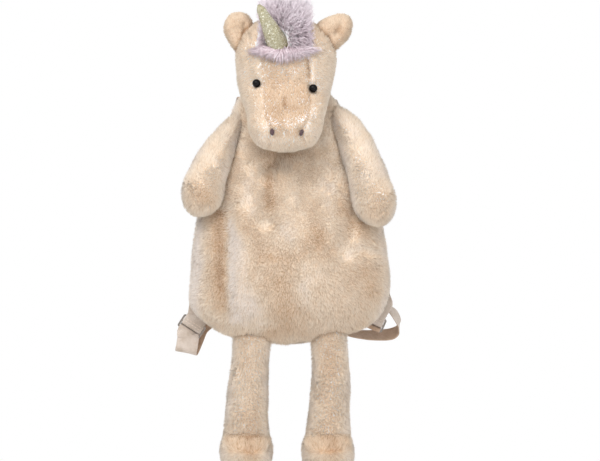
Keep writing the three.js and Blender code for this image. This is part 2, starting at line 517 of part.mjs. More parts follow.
// ---------- webbing and sliders ----------
function plate() {
  const { width: w, height: h, bar, corner: c, thick } = SLIDER;
  const outline = new THREE.Shape();
  outline.moveTo(-w / 2 + c, -h / 2);
  outline.lineTo(w / 2 - c, -h / 2);
  outline.absarc(w / 2 - c, -h / 2 + c, c, -Math.PI / 2, 0);
  outline.lineTo(w / 2, h / 2 - c);
  outline.absarc(w / 2 - c, h / 2 - c, c, 0, Math.PI / 2);
  outline.lineTo(-w / 2 + c, h / 2);
  outline.absarc(-w / 2 + c, h / 2 - c, c, Math.PI / 2, Math.PI);
  outline.lineTo(-w / 2, -h / 2 + c);
  outline.absarc(-w / 2 + c, -h / 2 + c, c, Math.PI, 1.5 * Math.PI);
  for (const side of [-1, 1]) {
    const near = (side * bar) / 2, far = side * (h / 2 - bar), x = w / 2 - bar;
    const hole = new THREE.Path();
    hole.moveTo(-x, near);
    hole.lineTo(x, near);
    hole.lineTo(x, far);
    hole.lineTo(-x, far);
    hole.lineTo(-x, near);
    outline.holes.push(hole);
  }
  return new THREE.ExtrudeGeometry(outline, { depth: thick, bevelEnabled: false, curveSegments: 3 }).translate(0, 0, -thick / 2);
}

// the plate's own axes: across the webbing, up the webbing, and out to the front
function axes(s) {
  const across = new THREE.Vector3(s.ux, 0, s.uz).normalize();
  const out = new THREE.Vector3(0, -1, 0);
  return { middle: new THREE.Vector3(s.x, s.y, s.z), across, up: out.clone().cross(across), out };
}
// points given as (out, up) of the plate
function around(s, list) {
  const f = axes(s);
  return list.map(([out, up]) => ({
    at: f.middle.clone().addScaledVector(f.out, out).addScaledVector(f.up, up),
    across: f.across,
  }));
}
// the sewn end comes down in front of the plate, folds under its middle bar and goes up behind
const SEWN_END = [[2.3, 13], [2.25, 7], [2.25, 0.8], [2.15, -0.8], [1.4, -2.05], [0, -2.5], [-1.4, -2.05], [-2.15, -0.8], [-2.25, 0.8], [-2.25, 7], [-2.3, 10]];
// the slack end goes up behind, comes forward under the sewn end and leaves in front of the lower bar
const SLACK_END = [[-5.0, 10], [-4.6, 7], [-4.2, 0.4], [-3.7, -2.5], [-2.2, -4.1], [0, -4.4], [1.7, -4.7], [2.8, -6.2], [3.2, -8.6]];

for (const [side, plan, strap, slack] of [
  ['left', SLIDER_LEFT, STRAP_LEFT, SLACK_LEFT],
  ['right', SLIDER_RIGHT, STRAP_RIGHT, SLACK_RIGHT],
]) {
  const f = axes(plan);
  const buckle = piece(`slider_${side}`, plate(), 0xb9b9b7, 0.3, 0.9);
  buckle.position.copy(f.middle);
  buckle.rotation.setFromRotationMatrix(new THREE.Matrix4().makeBasis(f.across, f.up, f.out));

  const upper = [...route(strap, 26), ...around(plan, SEWN_END)];
  for (let i = 1; i < upper.length; i++) {
    if (upper[i].across.dot(upper[i - 1].across) < 0) upper[i].across = upper[i].across.clone().negate();
  }
  piece(`strap_${side}`, solid(band(upper, WEB_WIDTH, WEB_THICK)).subtract(bagGrown), WEBBING, 0.85);

  const threaded = around(plan, SLACK_END);
  const lower = [...(side === 'left' ? threaded : threaded.reverse()), ...route(slack, 24)];
  for (let i = 1; i < lower.length; i++) {
    if (lower[i].across.dot(lower[i - 1].across) < 0) lower[i].across = lower[i].across.clone().negate();
  }
  piece(`strap_slack_${side}`, solid(band(lower, WEB_WIDTH, WEB_THICK)).subtract(bagGrown), WEBBING, 0.85);
}
piece('hang_loop', solid(band(route(HANG_LOOP, 28), LOOP_WIDTH, WEB_THICK)).subtract(bagGrown), WEBBING, 0.85);

export default group;
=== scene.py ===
"""A child's plush unicorn backpack: pile fabric, long mane, glitter horn, webbing and metal sliders.

Metres in Blender. The tables are in millimetres, +Z up, the face along -Y, as in the CAD source.
"""
import math

import bpy
import numpy as np
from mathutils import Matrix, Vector
from mathutils.bvhtree import BVHTree
from mathutils.kdtree import KDTree


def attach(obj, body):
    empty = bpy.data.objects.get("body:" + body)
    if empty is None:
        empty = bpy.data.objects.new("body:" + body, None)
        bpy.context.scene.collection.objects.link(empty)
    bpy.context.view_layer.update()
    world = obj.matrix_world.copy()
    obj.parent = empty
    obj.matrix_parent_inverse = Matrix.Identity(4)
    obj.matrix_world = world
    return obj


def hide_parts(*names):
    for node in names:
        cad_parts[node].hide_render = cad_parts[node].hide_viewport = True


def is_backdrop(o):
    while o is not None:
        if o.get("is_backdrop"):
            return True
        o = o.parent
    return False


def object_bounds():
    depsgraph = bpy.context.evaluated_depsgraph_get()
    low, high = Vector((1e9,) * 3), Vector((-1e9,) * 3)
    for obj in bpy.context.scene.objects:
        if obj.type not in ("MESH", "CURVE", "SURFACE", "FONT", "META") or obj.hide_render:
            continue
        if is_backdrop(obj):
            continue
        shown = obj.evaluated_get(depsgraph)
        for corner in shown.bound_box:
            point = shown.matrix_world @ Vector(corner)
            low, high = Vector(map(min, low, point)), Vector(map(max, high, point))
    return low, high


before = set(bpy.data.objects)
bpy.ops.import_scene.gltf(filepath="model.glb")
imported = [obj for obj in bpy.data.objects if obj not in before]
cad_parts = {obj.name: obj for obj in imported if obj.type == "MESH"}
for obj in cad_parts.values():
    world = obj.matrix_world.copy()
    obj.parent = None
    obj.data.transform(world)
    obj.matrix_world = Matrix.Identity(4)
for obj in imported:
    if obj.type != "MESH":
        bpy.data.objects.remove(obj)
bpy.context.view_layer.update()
SCENE = bpy.context.scene
MM = 0.001

# ---------- sizes shared with the CAD source ----------
PILE, GAP = 2.0, 0.35
WEB_WIDTH, WEB_THICK, LOOP_WIDTH, EYE_R = 24.0, 1.4, 16.0, 4.6
ZIP_Z, ZIP_HALF = -92.0, 62.0

# columns: z, middle, half width, front, back, depth at which it is widest
BAG = [
    (-14.0, -1.6, 9.0, -24, -13, -18), (-17.0, -2.4, 20.0, -31, -9.5, -19), (-23.5, -2.8, 33.5, -38, -7.5, -20),
    (-32.0, -3.2, 45.0, -45, -6.5, -22), (-41.5, -3.0, 54.5, -50, -6, -25), (-53.0, -1.8, 62.0, -55, -6, -28),
    (-66.0, -1.1, 68.0, -60, -6, -30), (-88.0, -0.8, 75.6, -66, -6, -33), (-115.5, -0.8, 85.0, -73, -6, -37),
    (-143.0, -0.3, 93.8, -80, -6, -40), (-171.5, 0.5, 102.3, -86, -6, -43), (-198.0, 0.5, 106.2, -91, -6, -44),
    (-225.5, 1.2, 109.7, -94, -6, -45), (-247.5, 0.8, 111.4, -94, -7, -45), (-264.0, -0.5, 111.1, -91, -8.5, -45),
    (-275.0, -0.5, 107.2, -87, -11, -45), (-286.0, 0.3, 97.6, -80, -15, -45), (-294.8, -0.3, 86.0, -73, -20, -45),
    (-301.4, -6.0, 69.0, -66, -25, -45), (-307.0, -7.0, 48.0, -59, -31, -45), (-311.0, -4.5, 30.0, -53, -37, -45),
    (-313.5, -4.4, 14.0, -49, -41, -45),
]
HEAD = [
    (48.5, -4.4, 13.0, -68, -47, -58), (44.0, -5.5, 27.5, -79, -36, -58), (36.5, -5.0, 40.0, -89, -28, -58),
    (26.5, -4.4, 49.5, -96, -22, -59), (13.0, -3.9, 55.5, -101, -19, -60), (0.0, -3.5, 56.4, -103, -18, -61),
    (-13.0, -3.5, 54.7, -106, -19, -64), (-26.5, -4.4, 52.3, -110, -23, -68), (-39.5, -4.4, 49.0, -117, -30, -74),
    (-50.5, -3.5, 46.0, -125, -38, -82), (-61.5, -3.3, 42.9, -132, -50, -90), (-72.5, -4.0, 40.4, -136, -62, -98),
    (-81.5, -4.0, 37.7, -137, -73, -103), (-89.0, -3.5, 31.5, -133, -83, -107), (-95.5, -3.0, 22.5, -126, -92, -109),
    (-100.5, -2.8, 10.5, -117, -101, -109),
]
EAR_LEFT = [
    (51.5, -55.5, 5.0, -66, -58, -62), (49.5, -55.5, 10.5, -69, -55, -62), (46.0, -55.3, 13.6, -71, -53, -62),
    (41.5, -55.3, 15.8, -73, -51, -62), (35.0, -55.5, 17.0, -74, -50, -62), (28.0, -54.8, 16.4, -74, -50, -62),
    (21.5, -53.5, 14.4, -74, -50, -62), (14.0, -52.0, 11.5, -72, -52, -62), (7.0, -50.0, 7.5, -69, -55, -62),
]
EAR_RIGHT = [
    (50.5, 56.5, 4.5, -66, -58, -62), (48.5, 56.6, 10.5, -69, -55, -62), (44.5, 53.0, 16.8, -71, -53, -62),
    (39.0, 50.5, 20.2, -73, -51, -62), (33.0, 49.0, 20.8, -74, -50, -62), (27.5, 48.0, 20.0, -74, -50, -62),
    (21.0, 46.5, 17.4, -73, -51, -62), (15.5, 45.0, 13.5, -71, -53, -62), (8.0, 42.0, 8.0, -68, -56, -62),
]
MANE = [
    (70.0, -3.3, 12.0, -73, -50, -62), (66.0, -5.0, 24.0, -84, -41, -62), (59.5, -7.0, 32.5, -93, -34, -63),
    (50.5, -6.0, 35.8, -101, -29, -64), (39.5, -5.5, 37.5, -107, -27, -66), (28.5, -5.5, 39.5, -111, -32, -70),
    (17.5, -5.2, 42.0, -113, -42, -76), (9.0, -5.0, 42.5, -113, -52, -82), (3.0, -6.0, 33.5, -112, -62, -88),
    (-2.5, -6.6, 20.5, -110, -72, -92), (-7.0, -6.0, 6.0, -108, -84, -96),
]
LEG_LEFT = [
    (-285.0, -41.0, 19.5, -58, -32, -45), (-300.0, -41.0, 22.0, -62, -28, -45), (-314.0, -41.0, 22.0, -64, -26, -45),
    (-330.0, -42.4, 21.4, -66, -24, -45), (-350.0, -44.8, 22.0, -68, -23, -45), (-370.0, -45.6, 23.6, -69, -22, -46),
    (-392.0, -46.5, 24.6, -71, -22, -46), (-405.0, -46.8, 25.6, -72, -22, -47), (-416.0, -47.2, 26.4, -73, -22, -47),
]
LEG_RIGHT = [
    (-280.0, 44.5, 18.5, -58, -32, -45), (-295.0, 44.5, 21.0, -62, -28, -45), (-311.0, 44.2, 21.0, -64, -26, -45),
    (-330.0, 45.1, 21.4, -66, -24, -45), (-350.0, 46.2, 22.0, -68, -23, -45), (-370.0, 45.6, 23.1, -69, -22, -46),
    (-392.0, 44.0, 24.2, -71, -22, -46), (-405.0, 43.2, 25.5, -72, -22, -47), (-416.0, 42.8, 26.6, -73, -22, -47),
]
FOOT = [
    (-412.35, 0.0, 26.6, -73.4, -21.8, -47), (-421.0, 0.3, 29.4, -82, -19, -50), (-430.0, 0.3, 30.0, -88, -18, -52),
    (-439.0, 0.3, 29.4, -89, -19, -53), (-447.0, 0.0, 26.0, -85, -23, -53), (-452.5, 0.0, 19.5, -77, -31, -53),
    (-455.5, 0.0, 10.0, -65, -42, -53),
]
# columns: x, y, z, half width seen from the front, half depth
ARM_LEFT = [
    (-54.0, -38, -61, 6.0, 8.0), (-58.0, -42, -67, 10.0, 11.0), (-63.5, -48, -76, 13.0, 14.0),
    (-70.0, -54, -87, 15.8, 16.5), (-77.0, -61, -99.5, 18.8, 18.5), (-83.5, -67, -113, 20.8, 20.0),
    (-90.0, -72, -128, 22.8, 21.5), (-94.6, -75, -144, 24.8, 22.5), (-95.8, -77, -157, 22.6, 20.5),
    (-95.4, -77, -166, 15.5, 14.5), (-95.0, -77, -170.6, 6.0, 6.0),
]
ARM_RIGHT = [
    (50.0, -37, -54, 6.0, 8.0), (54.0, -41, -60, 11.0, 12.0), (61.5, -48, -71, 15.8, 16.0),
    (69.0, -56, -84, 18.8, 18.5), (76.0, -63, -99, 20.9, 20.0), (82.0, -69, -115, 22.2, 21.0),
    (88.5, -75, -136, 24.2, 22.5), (93.3, -78, -154, 26.2, 23.5), (95.0, -79, -168, 22.8, 21.0),
    (95.4, -79, -177, 14.5, 13.5), (95.4, -79, -181.4, 5.0, 5.0),
]
HORN = [
    (-8.5, -86, 6, 12.6, 12.6),
    (-11.5, -95, 15, 12.4, 12.4),
    (-16.5, -104, 25.5, 11.1, 11.1),
    (-22, -112, 37, 8.8, 8.8),
    (-27.5, -119, 48, 6.4, 6.4),
    (-31, -123, 55, 4.8, 4.8),
    (-33, -125.4, 59.2, 1.8, 1.8),
]
# columns: x, y, z, then the direction across the webbing
STRAP_LEFT = [
    (-39, -8.3, -68, 1, 0.13, 0),
    (-41, -8.3, -56, 1, 0.13, 0.1),
    (-43, -8.2, -47.5, 1, 0.1, 0.1),
    (-44.5, -4.5, -41.5, 1, 0.05, 0.1),
    (-45.5, 2.5, -39.5, 1, 0, 0.1),
    (-46.5, 9.5, -43, 1, 0, 0),
    (-48.5, 15, -52, 1, 0, -0.15),
    (-53, 22, -70, 1, 0, -0.2),
    (-60, 31, -98, 1, 0, -0.22),
    (-71, 38, -142, 1, 0, -0.22),
    (-82, 35, -188, 1, 0, -0.2),
    (-91, 20, -229, 1, 0, -0.15),
    (-97, -6, -258, 1, 0, -0.1),
    (-98.5, -14.5, -272, 0.95, 0, -0.3),
]
STRAP_RIGHT = [
    (36, -8.3, -68, 1, -0.13, 0),
    (37.5, -8.3, -57, 1, -0.13, -0.1),
    (39, -8.2, -50, 1, -0.1, -0.1),
    (40, -4.5, -44.5, 1, -0.05, -0.1),
    (41, 2.5, -42.5, 1, 0, -0.1),
    (42, 9.5, -46, 1, 0, 0),
    (44.5, 15, -54, 1, 0, 0.15),
    (50, 22, -71, 1, 0, 0.2),
    (58, 31, -98, 1, 0, 0.22),
    (70, 38, -142, 1, 0, 0.22),
    (83, 35, -188, 1, 0, 0.2),
    (92.5, 21, -229, 1, 0, 0.15),
    (98.5, -1, -256, 1, 0, 0),
    (103, -9, -268, 0.97, 0, -0.2),
]
SLIDER_LEFT = ((-107.4, -13, -293.7), (0.835, 0, -0.55))
SLIDER_RIGHT = ((92.0, -9, -288.0), (0.92, 0, -0.4))
SLACK_LEFT = [
    (-111.2, -17.4, -305.5, 0.87, 0, -0.5),
    (-112.8, -18.6, -316, 0.96, 0, -0.28),
    (-113.8, -17.2, -320.5, 0.98, 0, -0.2),
    (-113.4, -13, -322.3, 0.98, 0, -0.2),
    (-111, -8.5, -318.5, 0.98, 0, -0.2),
    (-106.2, -5, -307, 0.95, 0, -0.3),
    (-99.5, -3.4, -292.5, 0.88, 0, -0.47),
    (-84.5, -4, -280.5, 0.8, 0.1, -0.6),
    (-68, -12.4, -271, 0.8, 0.14, -0.6),
]
SLACK_RIGHT = [
    (99, -0.6, -274.2, 0.9, 0.1, -0.42),
    (103, 3.8, -272, 0.62, 0.64, -0.4),
    (108.5, 6.6, -272.4, 0.25, 0.96, 0),
    (114.5, 6.8, -277, 0.2, 0.95, 0.25),
    (119, 6, -284, 0.12, 0.9, 0.4),
    (121.5, 6.2, -291.5, 0.05, 0.87, 0.5),
    (120, 8.3, -298, 0, 0.87, 0.5),
    (112, 8.8, -302.3, -0.1, 0.86, 0.5),
    (97, 4.5, -303.5, -0.2, 0.86, 0.46),
    (82, -2, -303, -0.25, 0.87, 0.42),
    (66, -9, -300.5, -0.15, 0.9, 0.35),
    (52, -13.5, -296.5, 0.2, 0.9, 0.2),
    (42, -17.5, -291, 0.75, 0.3, 0.5),
    (36, -14.4, -282, 0.8, 0.05, 0.6),
]
HANG_LOOP = [
    (-17.0, -6.9, -50, 1, 0, 0), (-18.0, -6.9, -34, 1, 0.1, 0), (-19.0, -5.0, -22, 0.8, 0.6, 0),
    (-16.5, -1.5, -10, 0.3, 0.95, 0), (-9.0, 0, -1.5, 0.05, 1, 0), (0.0, 0, 0.7, 0, 1, 0), (9.0, 0, -1.5, -0.05, 1, 0),
    (16.5, -1.5, -10, -0.3, 0.95, 0), (19.0, -5.0, -22, -0.8, 0.6, 0), (18.0, -6.9, -34, -1, 0.1, 0),
    (17.0, -6.9, -50, -1, 0, 0),
]
SEWN_END = [(2.3, 13), (2.25, 7), (2.25, 0.8), (2.15, -0.8), (1.4, -2.05), (0, -2.5), (-1.4, -2.05), (-2.15, -0.8),
            (-2.25, 0.8), (-2.25, 7), (-2.3, 10)]
SLACK_END = [(-5.0, 10), (-4.6, 7), (-4.2, 0.4), (-3.7, -2.5), (-2.2, -4.1), (0, -4.4), (1.7, -4.7), (2.8, -6.2), (3.2, -8.6)]

# folds pressed into the front of the bag: x0, z0, x1, z1, width, depth (a negative depth stands proud)
FOLDS = [
    (-13, -100, -24, -122, 9, 6.0), (-24, -122, -25, -176, 9, 3.6), (-25, -176, -32, -235, 14, 1.8),
    (-70, -165, -71, -268, 12, 5.5), (-52, -170, -55, -285, 13, -3.0), (74, -165, 59, -202, 11, 4.5),
    (44, -150, 46, -215, 13, -2.0), (-2, -130, 2, -190, 16, -2.0),
]
# tan (below 0) and pale (above 0) strokes in the pile of the bag's front, partly the pile's own mottling, partly
# painted shade in folds and under the right arm and painted light on the ridges beside them: x0, z0, x1, z1, width,
# amount
BAG_MOTTLE_AND_SHADE_STROKES = [
    (-75, -172, -74, -268, 8, -0.36), (-60, -180, -59, -282, 8, 0.26), (-50, -200, -50, -280, 12, 0.16), (-46, -135, -42, -158, 12, 0.12),
    (-22, -118, -21, -158, 7, -0.35), (-50, -180, -26, -214, 10, -0.20), (-16, -222, -2, -220, 9, -0.12),
    (8, -212, 30, -190, 11, -0.20), (-3, -184, 10, -205, 9, 0.14), (27, -162, 36, -212, 12, -0.12),
    (42, -142, 45, -190, 9, 0.12), (63, -164, 77, -188, 11, -0.26), (89, -236, 92, -252, 13, -0.16),
    (66, -218, 75, -204, 9, 0.18), (-12, -242, -4, -278, 15, -0.2), (-22, -298, 4, -294, 9, -0.22),
    (16, -250, 18, -262, 9, 0.2), (-40, -266, -30, -290, 12, 0.12), (-100, -180, -101, -290, 8, 0.25),
]
# panel seams on the face, as points seen from the front
FACE_SEAMS = [
    [(-29.7, -2.0), (-28.0, -24.0), (-27.0, -48.0), (-25.5, -64.0), (-20.5, -75.0)],
    [(20.5, 2.0), (23.0, -20.0), (23.6, -44.0), (22.0, -62.0), (17.0, -74.0)],
    [(-20.9, -84.0), (-21.4, -93.5)],
    [(14.3, -84.0), (18.9, -94.8)],
]
NOSTRILS = [((-18.4, -80.0), 4.0, 7.6, 0.08), ((13.8, -80.6), 3.2, 7.4, -0.36)]
EYES = [(-35.6, -26.3), (26.6, -31.8)]


# ---------- numbers ----------
def curve(table, s):
    """A smooth curve through the rows of a table; s runs from 0 to the last row."""
    t = np.asarray(table, float)
    last = len(t) - 1
    ext = np.vstack([2 * t[0] - t[1], t, 2 * t[-1] - t[-2]])
    s = np.clip(np.atleast_1d(np.asarray(s, float)), 0, last)
    i = np.minimum(np.floor(s).astype(int), last - 1)
    u = (s - i)[:, None]
    a, b, c, d = ext[i], ext[i + 1], ext[i + 2], ext[i + 3]
    return 0.5 * (2 * b + (c - a) * u + (2 * a - 5 * b + 4 * c - d) * u**2 + (3 * b - a - 3 * c + d) * u**3)


def unit(v):
    return v / np.maximum(np.linalg.norm(v, axis=-1, keepdims=True), 1e-9)


def smooth(lo, hi, v):
    t = np.clip((v - lo) / (hi - lo), 0, 1)
    return t * t * (3 - 2 * t)


def lattice(i, j, k, seed):
    h = (i * 73856093) ^ (j * 19349663) ^ (k * 83492791) ^ (seed * 2654435761)
    h &= 0xFFFFFFFF
    h = ((h ^ (h >> 13)) * 1274126177) & 0xFFFFFFFF
    h = ((h ^ (h >> 15)) * 2246822519) & 0xFFFFFFFF
    h = h ^ (h >> 16)
    return h / 2147483648.0 - 1.0


def noise(p, size, seed):
    """Smooth noise from -1 to 1 over points, with features of that size."""
    q = np.asarray(p, float) / size
    f = np.floor(q)
    w = q - f
    w = w * w * (3 - 2 * w)
    i = f.astype(np.int64)
    total = np.zeros(len(q))
    for dx in (0, 1):
        for dy in (0, 1):
            for dz in (0, 1):
                k = np.where(dx, w[:, 0], 1 - w[:, 0]) * np.where(dy, w[:, 1], 1 - w[:, 1]) * np.where(dz, w[:, 2], 1 - w[:, 2])
                total += k * lattice(i[:, 0] + dx, i[:, 1] + dy, i[:, 2] + dz, seed)
    return total


def noise3(p, size, seed):
    return np.stack([noise(p, size, seed), noise(p, size, seed + 1), noise(p, size, seed + 2)], 1)


def to_segment(x, z, x0, z0, x1, z1):
    dx, dz = x1 - x0, z1 - z0
    t = np.clip(((x - x0) * dx + (z - z0) * dz) / (dx * dx + dz * dz), 0, 1)
    return np.hypot(x - x0 - t * dx, z - z0 - t * dz)


def stroke(x, z, row):
    x0, z0, x1, z1, width, amount = row
    return amount * np.exp(-((to_segment(x, z, x0, z0, x1, z1) / width) ** 2))


def to_line(x, z, points):
    return np.min([to_segment(x, z, *a, *b) for a, b in zip(points[:-1], points[1:])], axis=0)


# ---------- forms ----------
class Slices:
    """Level slices, a fuller or flatter oval in each."""

    def __init__(self, table, nf, nb, shift=0.0):
        self.table, self.nf, self.nb, self.shift = table, nf, nb, shift
        self.low, self.high = table[-1][0], table[0][0]
        self.mid = (self.low + self.high) / 2
        dense = curve(table, np.linspace(0, len(table) - 1, 500))
        self.dense = dense[np.argsort(dense[:, 0])]

    def stretch(self, grow):
        return 1 + grow / ((self.high - self.low) / 2)

    def grid(self, rings, segs, grow=0.0, tall=None, above=0, below=0):
        """above and below add a ring past that end, for a piece that is cut level there."""
        z, cx, hw, yf, yb, ys = curve(self.table, np.linspace(0, len(self.table) - 1, rings)).T[:, :, None]
        a = 2 * np.pi * np.arange(segs) / segs
        front = np.sin(a) < 0
        n = np.where(front, self.nf, self.nb)
        pc = np.sign(np.cos(a)) * np.abs(np.cos(a)) ** (2 / n)
        ps = np.sign(np.sin(a)) * np.abs(np.sin(a)) ** (2 / n)
        depth = np.maximum(np.where(front, ys - yf, yb - ys) + grow, 1.0)
        x = cx + self.shift + np.maximum(hw + grow, 0.6 * hw) * pc
        y = ys + depth * ps
        zz = self.mid + (z - self.mid) * self.stretch(grow if tall is None else tall) + 0 * x
        grid = np.stack([x, y, zz], 2)
        if above:
            grid = np.concatenate([grid[:1] + (0, 0, above), grid])
        if below:
            grid = np.concatenate([grid, grid[-1:] - (0, 0, below)])
        return grid

    def rows(self, z, grow=0.0):
        q = self.mid + (z - self.mid) / self.stretch(grow)
        d = self.dense
        return [np.interp(q, d[:, 0], d[:, k]) for k in range(1, 6)], q

    def level(self, p, grow=0.0):
        """1 on the surface, less inside, more outside."""
        (cx, hw, yf, yb, ys), q = self.rows(p[:, 2], grow)
        dx, dy = p[:, 0] - cx - self.shift, p[:, 1] - ys
        front = dy < 0
        n = np.where(front, self.nf, self.nb)
        depth = np.maximum(np.where(front, ys - yf, yb - ys) + grow, 1.0)
        v = (np.abs(dx / np.maximum(hw + grow, 1.0)) ** n + np.abs(dy / depth) ** n) ** (1 / n)
        return np.where((q < self.low) | (q > self.high), np.maximum(v, 1.5), v)

    def front(self, x, z, grow=0.0):
        (cx, hw, yf, yb, ys), _ = self.rows(z, grow)
        t = np.clip(np.abs(x - cx - self.shift) / np.maximum(hw + grow, 1.0), 0, 1)
        return ys - np.maximum(ys - yf + grow, 1.0) * (1 - t**self.nf) ** (1 / self.nf)

    def back(self, x, z, grow=0.0):
        (cx, hw, yf, yb, ys), _ = self.rows(z, grow)
        t = np.clip(np.abs(x - cx - self.shift) / np.maximum(hw + grow, 1.0), 0, 1)
        return ys + np.maximum(yb - ys + grow, 1.0) * (1 - t**self.nb) ** (1 / self.nb)


class Limb:
    """Rings square to a middle line."""

    def __init__(self, table):
        self.table = table
        rows = curve(table, np.linspace(0, len(table) - 1, 160))
        self.p, self.r, self.d = rows[:, :3], rows[:, 3], rows[:, 4]
        self.t, self.wide, self.deep = self.axes(self.p)

    @staticmethod
    def axes(p):
        t = unit(np.gradient(p, axis=0))
        deep = unit(np.array([0.0, 1.0, 0.0]) - t * t[:, 1:2])
        return t, np.cross(t, deep), deep

    def grid(self, rings, segs, grow=0.0):
        rows = curve(self.table, np.linspace(0, len(self.table) - 1, rings))
        p = rows[:, :3].copy()
        t, wide, deep = self.axes(p)
        p[0] -= t[0] * grow * 0.5
        p[-1] += t[-1] * grow * 0.5
        a = 2 * np.pi * np.arange(segs) / segs
        r = np.maximum(rows[:, 3] + grow, 0.6 * rows[:, 3])[:, None, None]
        d = np.maximum(rows[:, 4] + grow, 0.6 * rows[:, 4])[:, None, None]
        return (p[:, None] + wide[:, None] * r * np.cos(a)[None, :, None] + deep[:, None] * d * np.sin(a)[None, :, None])

    def level(self, p, grow=0.0):
        out = np.empty(len(p))
        for at in range(0, len(p), 20000):
            q = p[at:at + 20000]
            i = np.argmin(((q[:, None] - self.p[None]) ** 2).sum(2), axis=1)
            off = q - self.p[i]
            a = (off * self.wide[i]).sum(1) / np.maximum(self.r[i] + grow, 0.8)
            b = (off * self.deep[i]).sum(1) / np.maximum(self.d[i] + grow, 0.8)
            c = (off * self.t[i]).sum(1) / 3.0
            ends = (i == 0) | (i == len(self.p) - 1)
            out[at:at + 20000] = np.sqrt(a * a + b * b + np.where(ends, c * c, 0))
        return out


bag_form = Slices(BAG, 2.2, 3.0)
head_form = Slices(HEAD, 2.5, 2.3)
ear_forms = {"left": Slices(EAR_LEFT, 2.2, 2.2), "right": Slices(EAR_RIGHT, 2.2, 2.2)}
mane_form = Slices(MANE, 2.3, 2.2)
leg_forms = {"left": Slices(LEG_LEFT, 2.1, 2.1), "right": Slices(LEG_RIGHT, 2.1, 2.1)}
foot_forms = {"left": Slices(FOOT, 2.1, 2.1, -47.2), "right": Slices(FOOT, 2.1, 2.1, 42.8)}
arm_forms = {"left": Limb(ARM_LEFT), "right": Limb(ARM_RIGHT)}
horn_form = Limb(HORN)


# ---------- meshes ----------
def closed(grid):
    """Vertices, quads and triangles of the closed skin over a stack of rings."""
    rings, n, _ = grid.shape
    verts = np.vstack([grid.reshape(-1, 3), grid[0].mean(0), grid[-1].mean(0)])
    r, k = np.meshgrid(np.arange(rings - 1), np.arange(n), indexing="ij")
    a, b = r * n + k, r * n + (k + 1) % n
    quads = np.stack([a, a + n, b + n, b], 2).reshape(-1, 4)
    k = np.arange(n)
    top = (rings - 1) * n
    tris = np.vstack([
        np.stack([np.full(n, rings * n), k, (k + 1) % n], 1),
        np.stack([np.full(n, rings * n + 1), top + (k + 1) % n, top + k], 1),
    ])
    a, b, c = verts[quads[:, 0]], verts[quads[:, 1]], verts[quads[:, 2]]
    if (a * np.cross(b, c)).sum() < 0:
        quads, tris = quads[:, ::-1], tris[:, ::-1]
    return verts, quads, tris


def mesh_of(name, verts, *faces):
    """A mesh from points in millimetres and arrays of faces."""
    me = bpy.data.meshes.new(name)
    me.vertices.add(len(verts))
    me.vertices.foreach_set("co", (np.asarray(verts) * MM).astype(np.float32).ravel())
    faces = [np.asarray(f, np.int32) for f in faces if len(f)]
    sizes = np.concatenate([np.full(len(f), f.shape[1], np.int32) for f in faces])
    corners = np.concatenate([f.ravel() for f in faces])
    me.loops.add(len(corners))
    me.loops.foreach_set("vertex_index", corners)
    me.polygons.add(len(sizes))
    me.polygons.foreach_set("loop_start", np.concatenate([[0], np.cumsum(sizes)[:-1]]).astype(np.int32))
    me.polygons.foreach_set("use_smooth", np.ones(len(sizes), bool))
    me.update(calc_edges=True)
    return me


def add(name, me, material=None, body="root"):
    obj = bpy.data.objects.new(name, me)
    SCENE.collection.objects.link(obj)
    if material:
        me.materials.append(material)
    if body:
        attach(obj, body)
    return obj


def paint(me, name, rgba):
    layer = me.color_attributes.new(name, "FLOAT_COLOR", "POINT")
    layer.data.foreach_set("color", np.asarray(rgba, np.float32).ravel())


def points_of(me):
    co = np.empty(len(me.vertices) * 3, np.float32)
    me.vertices.foreach_get("co", co)
    return co.reshape(-1, 3).astype(float) / MM


def normals_of(me):
    n = np.empty(len(me.vertices) * 3, np.float32)
    me.vertex_normals.foreach_get("vector", n)
    return n.reshape(-1, 3).astype(float)


def triangles_of(me):
    me.calc_loop_triangles()
    t = np.empty(len(me.loop_triangles) * 3, np.int32)
    me.loop_triangles.foreach_get("vertices", t)
    return t.reshape(-1, 3)


def set_points(me, p):
    me.vertices.foreach_set("co", (p * MM).astype(np.float32).ravel())
    me.update()


def relax(me, rounds):
    """Smooths the voxel steps and keeps the volume: a step in, then one out."""
    edges = np.empty(len(me.edges) * 2, np.int32)
    me.edges.foreach_get("vertices", edges)
    a, b = edges.reshape(-1, 2).T
    p = points_of(me)
    count = np.bincount(a, minlength=len(p)) + np.bincount(b, minlength=len(p))
    for _ in range(rounds):
        for amount in (0.55, -0.56):
            mean = np.stack([np.bincount(a, p[b, k], len(p)) + np.bincount(b, p[a, k], len(p)) for k in range(3)], 1)
            p = p + (mean / np.maximum(count, 1)[:, None] - p) * amount
    set_points(me, p)


def with_modifier(name, me, kind, **values):
    """The mesh after one modifier."""
    obj = bpy.data.objects.new("work_" + name, me)
    SCENE.collection.objects.link(obj)
    mod = obj.modifiers.new(kind, kind)
    for key, value in values.items():
        setattr(mod, key, value)
    depsgraph = bpy.context.evaluated_depsgraph_get()
    made = bpy.data.meshes.new_from_object(obj.evaluated_get(depsgraph))
    made.name = name
    bpy.data.objects.remove(obj)
    return made


def without(name, me, others, gap=0.4):
    """The mesh with its neighbours cut out of it, each grown by the gap first."""
    for other in others:
        big = other.copy()
        set_points(big, points_of(big) + normals_of(big) * gap)
        tool = bpy.data.objects.new("work_tool", big)
        obj = bpy.data.objects.new("work_" + name, me)
        SCENE.collection.objects.link(tool)
        SCENE.collection.objects.link(obj)
        mod = obj.modifiers.new("cut", "BOOLEAN")
        mod.operation, mod.solver, mod.object = "DIFFERENCE", "MANIFOLD", tool
        made = bpy.data.meshes.new_from_object(obj.evaluated_get(bpy.context.evaluated_depsgraph_get()))
        bpy.data.objects.remove(obj)
        bpy.data.objects.remove(tool)
        if len(made.polygons) > 100:
            me = made
    me.name = name
    me.polygons.foreach_set("use_smooth", np.ones(len(me.polygons), bool))
    me.update()
    return me


